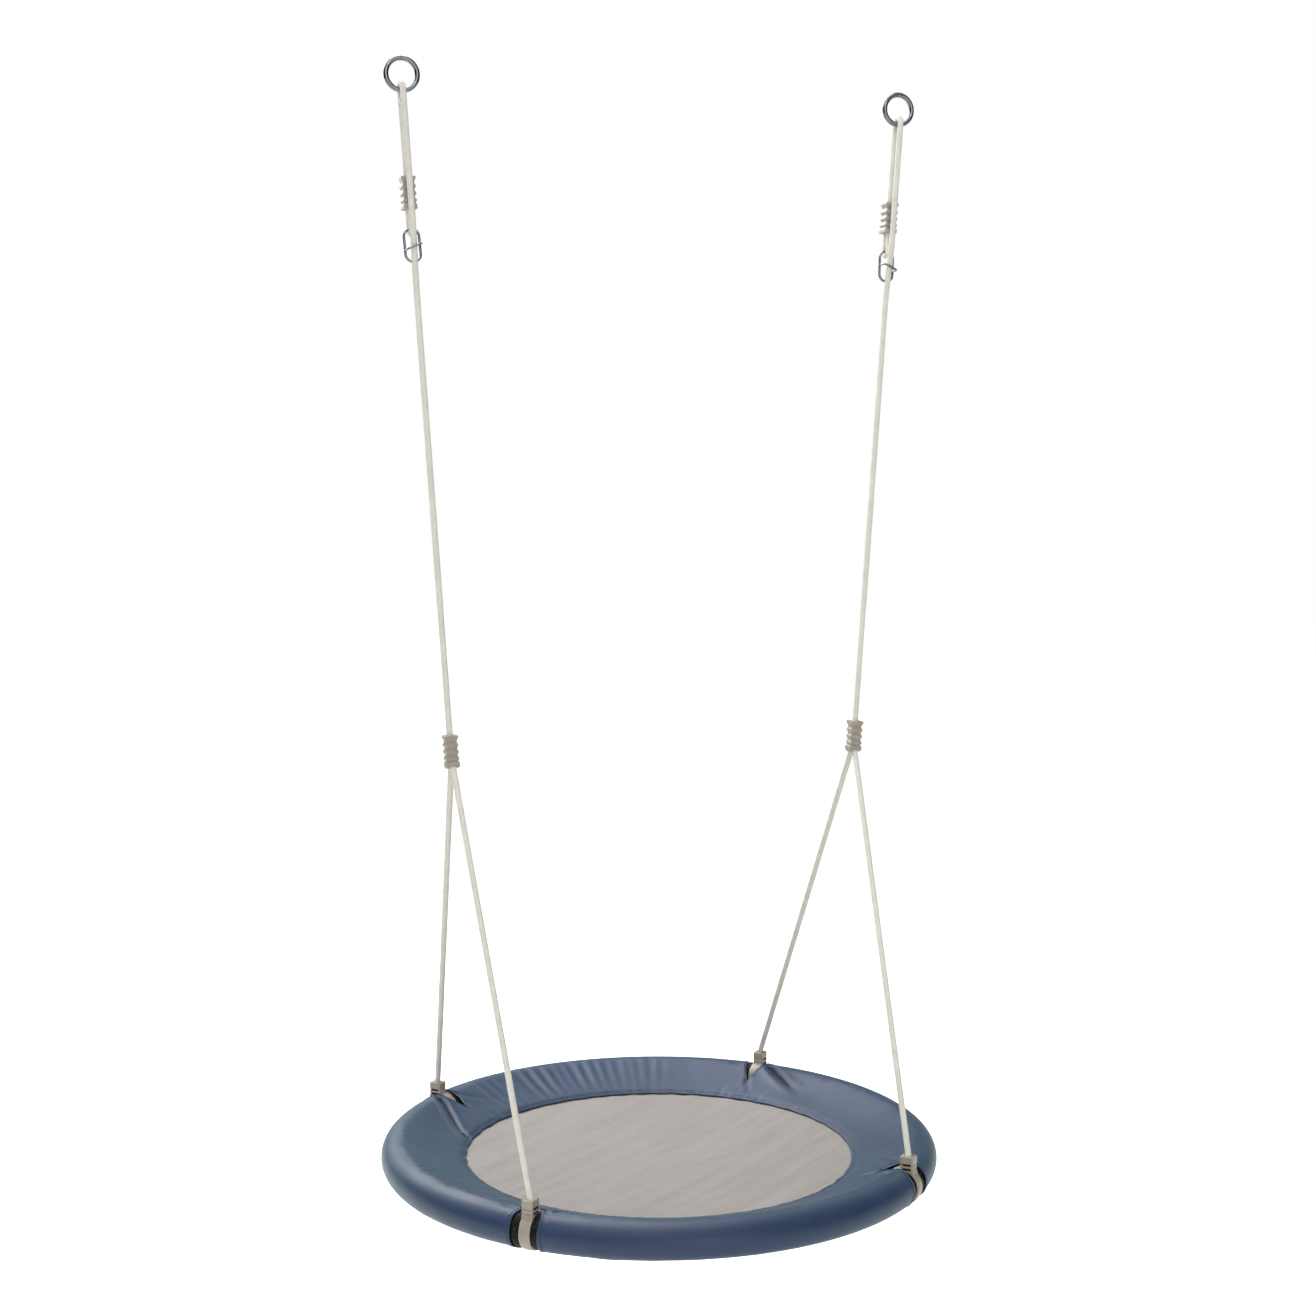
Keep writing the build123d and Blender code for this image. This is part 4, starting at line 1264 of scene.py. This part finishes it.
def turned(profile, origin, axis, around=40):
    """A solid turned about an axis: profile holds (distance along the axis, radius)."""
    axis = np.asarray(axis, float) / np.linalg.norm(axis)
    ref = np.array((0, 0, 1.0)) if abs(axis[2]) < 0.9 else np.array((1.0, 0, 0))
    e1 = np.cross(axis, ref)
    e1 /= np.linalg.norm(e1)
    e2 = np.cross(axis, e1)
    verts, faces = [], []
    for d, r in profile:
        for k in range(around):
            w = 2 * math.pi * k / around
            verts.append(np.asarray(origin) + axis * d + (e1 * math.cos(w) + e2 * math.sin(w)) * r)
    n = around
    for i in range(len(profile) - 1):
        for k in range(n):
            q = (k + 1) % n
            faces.append([i * n + k, i * n + q, (i + 1) * n + q, (i + 1) * n + k])
    faces.append(list(range(n))[::-1])
    faces.append(list(range((len(profile) - 1) * n, len(profile) * n)))
    return new_object("turned", verts, faces)


PART_X = CLIP_ENTRY_R - RIM_R
BLOCK_ROWS = [(48.0, 10.0, 8.0), (47.8, 10.5, 8.5), (47.3, 10.9, 8.9), (46.6, 11.0, 9.0), (37.0, 11.0, 9.0), (36.5, 10.85, 9.0),
              (36.1, 10.1, 9.0), (34.1, 10.1, 9.0), (33.7, 10.85, 9.0), (33.2, 11.0, 9.0), (30.4, 11.0, 9.0),
              (29.9, 10.85, 9.0), (29.5, 10.1, 9.0), (27.5, 10.1, 9.0), (27.1, 10.85, 9.0), (26.6, 11.0, 9.0),
              (24.0, 11.3, 9.0), (21.0, 12.2, 9.0), (17.5, 13.6, 9.0), (14.0, 14.0, 9.0)]


def clip_block():
    angles = sorted(set([float(k) for k in range(0, 360, 10)]
                        + [s + k * 1.5 for s in (39.3, 140.7, 219.3, 320.7) for k in range(-6, 7)]))
    verts, faces = [], []
    for z, wx, wy in BLOCK_ROWS:
        for ang in angles:
            c, s = math.cos(math.radians(ang)), math.sin(math.radians(ang))
            x, y = rr_point(wx, wy, 1.7, c, s)
            verts.append((PART_X + x, y, z))
    n = len(angles)
    for i in range(len(BLOCK_ROWS) - 1):
        for k in range(n):
            q = (k + 1) % n
            faces.append([i * n + k, i * n + q, (i + 1) * n + q, (i + 1) * n + k])
    faces.append(list(range(n)))
    faces.append(list(range((len(BLOCK_ROWS) - 1) * n, len(BLOCK_ROWS) * n))[::-1])
    return new_object("block", verts, faces)


def clip_band():
    prof = [(-8.6, 25.75), (-9.0, 26.2), (-9.0, 27.6), (-8.75, 28.15), (-8.2, 28.45), (-6.5, 28.75), (-3.5, 29.05),
            (0, 29.15), (3.5, 29.05), (6.5, 28.75), (8.2, 28.45), (8.75, 28.15), (9.0, 27.6), (9.0, 26.2), (8.6, 25.75)]
    verts, faces = [], []
    n = 96
    for k in range(n):
        w = 2 * math.pi * k / n
        for y, r in prof:
            verts.append((r * math.cos(w), y, r * math.sin(w)))
    m = len(prof)
    for k in range(n):
        q = (k + 1) % n
        for i in range(m):
            j = (i + 1) % m
            faces.append([k * m + i, q * m + i, q * m + j, k * m + j])
    return new_object("band", verts, faces)


def local_clip(lean, mouth):
    """Both halves of a clip about the rim's own centreline: x outwards, y along the rim, z up."""
    body = clip_band()
    boolean(body, clip_block(), "UNION")
    boolean(body, turned([(-9.2, 25.75), (9.2, 25.75)], (0, 0, 0), (0, 1, 0), 96), "DIFFERENCE")
    for t in (-1, 1):
        for z in (35.3, 28.5):
            boolean(body, brick(PART_X, t * 8.0, z, 6.8, 3.4, 1.55, 0.35), "DIFFERENCE")
    d = np.array((-0.2826, 0.361 * lean, 0.8885))
    entry = np.array((PART_X, 0, CLIP_TOP))
    boolean(body, turned([(-9.0 if mouth < 6 else -5.6, mouth), (-1.0, mouth), (1.0, mouth + 0.15), (14, mouth + 2.5)], entry, d, 40), "DIFFERENCE")
    return body


def clip_half(body, which):
    obj = body.copy()
    obj.data = body.data.copy()
    scene.collection.objects.link(obj)
    far = 60
    if which == "outer":
        boolean(obj, brick(PART_X + 0.07 + far, 0, 0, far, 80, 80), "INTERSECT")
    else:
        boolean(obj, brick(PART_X - 0.07 - far, 0, 0, far, 80, 80), "INTERSECT")
    mod = obj.modifiers.new("edges", "BEVEL")
    mod.width = 0.28 * MM
    mod.segments = 2
    mod.limit_method = "ANGLE"
    mod.angle_limit = math.radians(48)
    mod.use_clamp_overlap = True
    applied(obj)
    for poly in obj.data.polygons:
        x, y, z = (c / MM for c in poly.center)
        if abs(x - PART_X) < 7.0 and 4.3 < abs(y) < 8.93 and min(abs(z - 35.3), abs(z - 28.5)) < 1.72:
            poly.material_index = 1
    return obj


models = {(k, m): local_clip(k, m) for k in (1, -1) for m in (5.45, 6.6)}
for place_name, az in CLIPS.items():
    lean = 1 if place_name in ("left_back", "right_front") else -1
    a = math.radians(az)
    c, s = math.cos(a), math.sin(a)
    world = Matrix(((c, -s, 0, RIM_R * c * MM), (s, c, 0, RIM_R * s * MM), (0, 0, 1, RIM_Z * MM), (0, 0, 0, 1)))
    for which in ("outer", "inner"):
        obj = clip_half(models[(lean, 6.6 if place_name.startswith("right") else 5.45)], which)
        obj.name = "clip_" + place_name + "_" + which + "_shell"
        obj.data.transform(world)
        obj.data.shade_smooth()
        obj.data.set_sharp_from_angle(angle=math.radians(32))
        index_of = [poly.material_index for poly in obj.data.polygons]
        give(obj, "plastic")
        obj.data.materials.append(MAT["recess"])
        obj.data.polygons.foreach_set("material_index", index_of)
        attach(obj, "seat")
        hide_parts("clip_" + place_name + "_" + which)
for obj in models.values():
    bpy.data.objects.remove(obj)

# ------------------------------------------- nodes kept as they are in the CAD
for n, key in (("rim_tube_front", "steel"), ("rim_tube_back", "steel"), ("rim_tube_left", "steel"),
               ("rim_tube_right", "steel"), ("tube_snap_buttons", "steel")):
    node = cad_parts[n]
    node.data.materials.clear()
    node.data.materials.append(MAT[key])

# ------------------------------------------------------------ floor and light
floor_m, nodes, links, p = material("floor_pale")
p.inputs["Roughness"].default_value = 0.9
fr = ramp(nodes, [(0.3, (0.86, 0.86, 0.86)), (0.7, (0.9, 0.9, 0.9))])
links.new(noise(nodes, links, object_coords(nodes), 0.8, 2.0).outputs[0], fr.inputs[0])
links.new(fr.outputs[0], p.inputs["Base Color"])
p.inputs["Emission Color"].default_value = (1, 1, 1, 1)
seen = nodes.new("ShaderNodeLightPath")
glow = math_node(nodes, links, "MULTIPLY_ADD", seen.outputs["Is Camera Ray"], 0.5, 0.18)
links.new(glow, p.inputs["Emission Strength"])
floor = new_object("floor", [(-12, -8, -2.16), (12, -8, -2.16), (12, 26, -2.16), (-12, 26, -2.16)], [[0, 1, 2, 3]],
                   smooth=False, unit=1.0)
if floor.data.polygons[0].normal.z < 0:
    floor.data.flip_normals()
floor.data.materials.append(floor_m)

world = bpy.data.worlds.new("studio")
scene.world = world
world.use_nodes = True
wn, wl = world.node_tree.nodes, world.node_tree.links
bg = wn["Background"]
coords = wn.new("ShaderNodeTexCoord")
sep = wn.new("ShaderNodeSeparateXYZ")
wl.new(coords.outputs["Generated"], sep.inputs[0])
shade = wn.new("ShaderNodeValToRGB")
while len(shade.color_ramp.elements) > 1:
    shade.color_ramp.elements.remove(shade.color_ramp.elements[-1])
shade.color_ramp.elements[0].position = 0.0
shade.color_ramp.elements[0].color = (0.62, 0.62, 0.64, 1)
for pos_, val in ((0.42, 0.5), (0.5, 0.62), (0.62, 0.9), (0.8, 1.0)):
    e = shade.color_ramp.elements.new(pos_)
    e.color = (val, val, val * 1.01, 1)
half_up = wn.new("ShaderNodeMath")
half_up.operation = "MULTIPLY_ADD"
half_up.inputs[1].default_value = 0.5
half_up.inputs[2].default_value = 0.5
wl.new(sep.outputs[2], half_up.inputs[0])
wl.new(half_up.outputs[0], shade.inputs[0])
# a dark flag stands low behind the object, so that bright metal has dark edges
low = wn.new("ShaderNodeMapRange")
low.interpolation_type = "SMOOTHERSTEP"
ahead = wn.new("ShaderNodeMapRange")
ahead.interpolation_type = "SMOOTHERSTEP"
off = wn.new("ShaderNodeMath")
off.operation = "SUBTRACT"
off.inputs[1].default_value = 0.06
wl.new(sep.outputs[2], off.inputs[0])
away = wn.new("ShaderNodeMath")
away.operation = "ABSOLUTE"
wl.new(off.outputs[0], away.inputs[0])
wl.new(away.outputs[0], low.inputs["Value"])
low.inputs["From Min"].default_value, low.inputs["From Max"].default_value = 0.22, 0.50
low.inputs["To Min"].default_value, low.inputs["To Max"].default_value = 1.0, 0.0
wl.new(sep.outputs[1], ahead.inputs["Value"])
ahead.inputs["From Min"].default_value, ahead.inputs["From Max"].default_value = -0.75, -0.45
flag = wn.new("ShaderNodeMath")
flag.operation = "MULTIPLY"
wl.new(low.outputs[0], flag.inputs[0])
wl.new(ahead.outputs[0], flag.inputs[1])
dim = wn.new("ShaderNodeMix")
dim.data_type = "RGBA"
wl.new(flag.outputs[0], dim.inputs[0])
wl.new(shade.outputs[0], dim.inputs[6])
dim.inputs[7].default_value = (0.03, 0.03, 0.035, 1)
card = wn.new("ShaderNodeMapRange")
card.interpolation_type = "SMOOTHERSTEP"
card.inputs["From Min"].default_value, card.inputs["From Max"].default_value = -0.89, -0.95
card.inputs["To Min"].default_value, card.inputs["To Max"].default_value = 1.0, 3.4
wl.new(sep.outputs[1], card.inputs["Value"])
lit = wn.new("ShaderNodeVectorMath")
lit.operation = "SCALE"
wl.new(dim.outputs[2], lit.inputs[0])
wl.new(card.outputs[0], lit.inputs["Scale"])
wl.new(lit.outputs[0], bg.inputs[0])
bg.inputs[1].default_value = 0.7
right = wn.new("ShaderNodeMapRange")
right.interpolation_type = "SMOOTHERSTEP"
right.inputs["From Min"].default_value, right.inputs["From Max"].default_value = 0.05, 0.75
right.inputs["To Min"].default_value, right.inputs["To Max"].default_value = 1.0, 0.35
wl.new(sep.outputs[0], right.inputs["Value"])
shadow_side = wn.new("ShaderNodeVectorMath")
shadow_side.operation = "SCALE"
wl.new(lit.outputs[0], shadow_side.inputs[0])
wl.new(right.outputs[0], shadow_side.inputs["Scale"])
wl.new(shadow_side.outputs[0], bg.inputs[0])
white = wn.new("ShaderNodeBackground")
white.inputs[0].default_value = (1, 1, 1, 1)
white.inputs[1].default_value = 1.0
path_n = wn.new("ShaderNodeLightPath")
choose = wn.new("ShaderNodeMixShader")
wl.new(path_n.outputs["Is Camera Ray"], choose.inputs[0])
wl.new(bg.outputs[0], choose.inputs[1])
wl.new(white.outputs[0], choose.inputs[2])
wl.new(choose.outputs[0], wn["World Output"].inputs[0])


def area(name, at, aim, size, power, size_y=None):
    data = bpy.data.lights.new(name, "AREA")
    data.shape = "RECTANGLE"
    data.size, data.size_y = size, size_y or size
    data.energy = power
    obj = bpy.data.objects.new(name, data)
    scene.collection.objects.link(obj)
    obj.location = at
    obj.rotation_mode = "QUATERNION"
    obj.rotation_quaternion = (Vector(aim) - Vector(at)).to_track_quat("-Z", "Y")
    return obj


area("top_light", (-0.5, 1.8, 1.4), (0, 0, -1.7), 2.6, 66)
area("back_light", (-1.2, 3.4, 0.7), (0, 0, -1.7), 3.0, 70)
area("ceiling_light", (-0.4, -0.1, 2.3), (0, 0, -1.7), 2.0, 34)
area("front_light", (-1.4, -2.7, 2.0), (0, 0, -1.5), 0.9, 12)
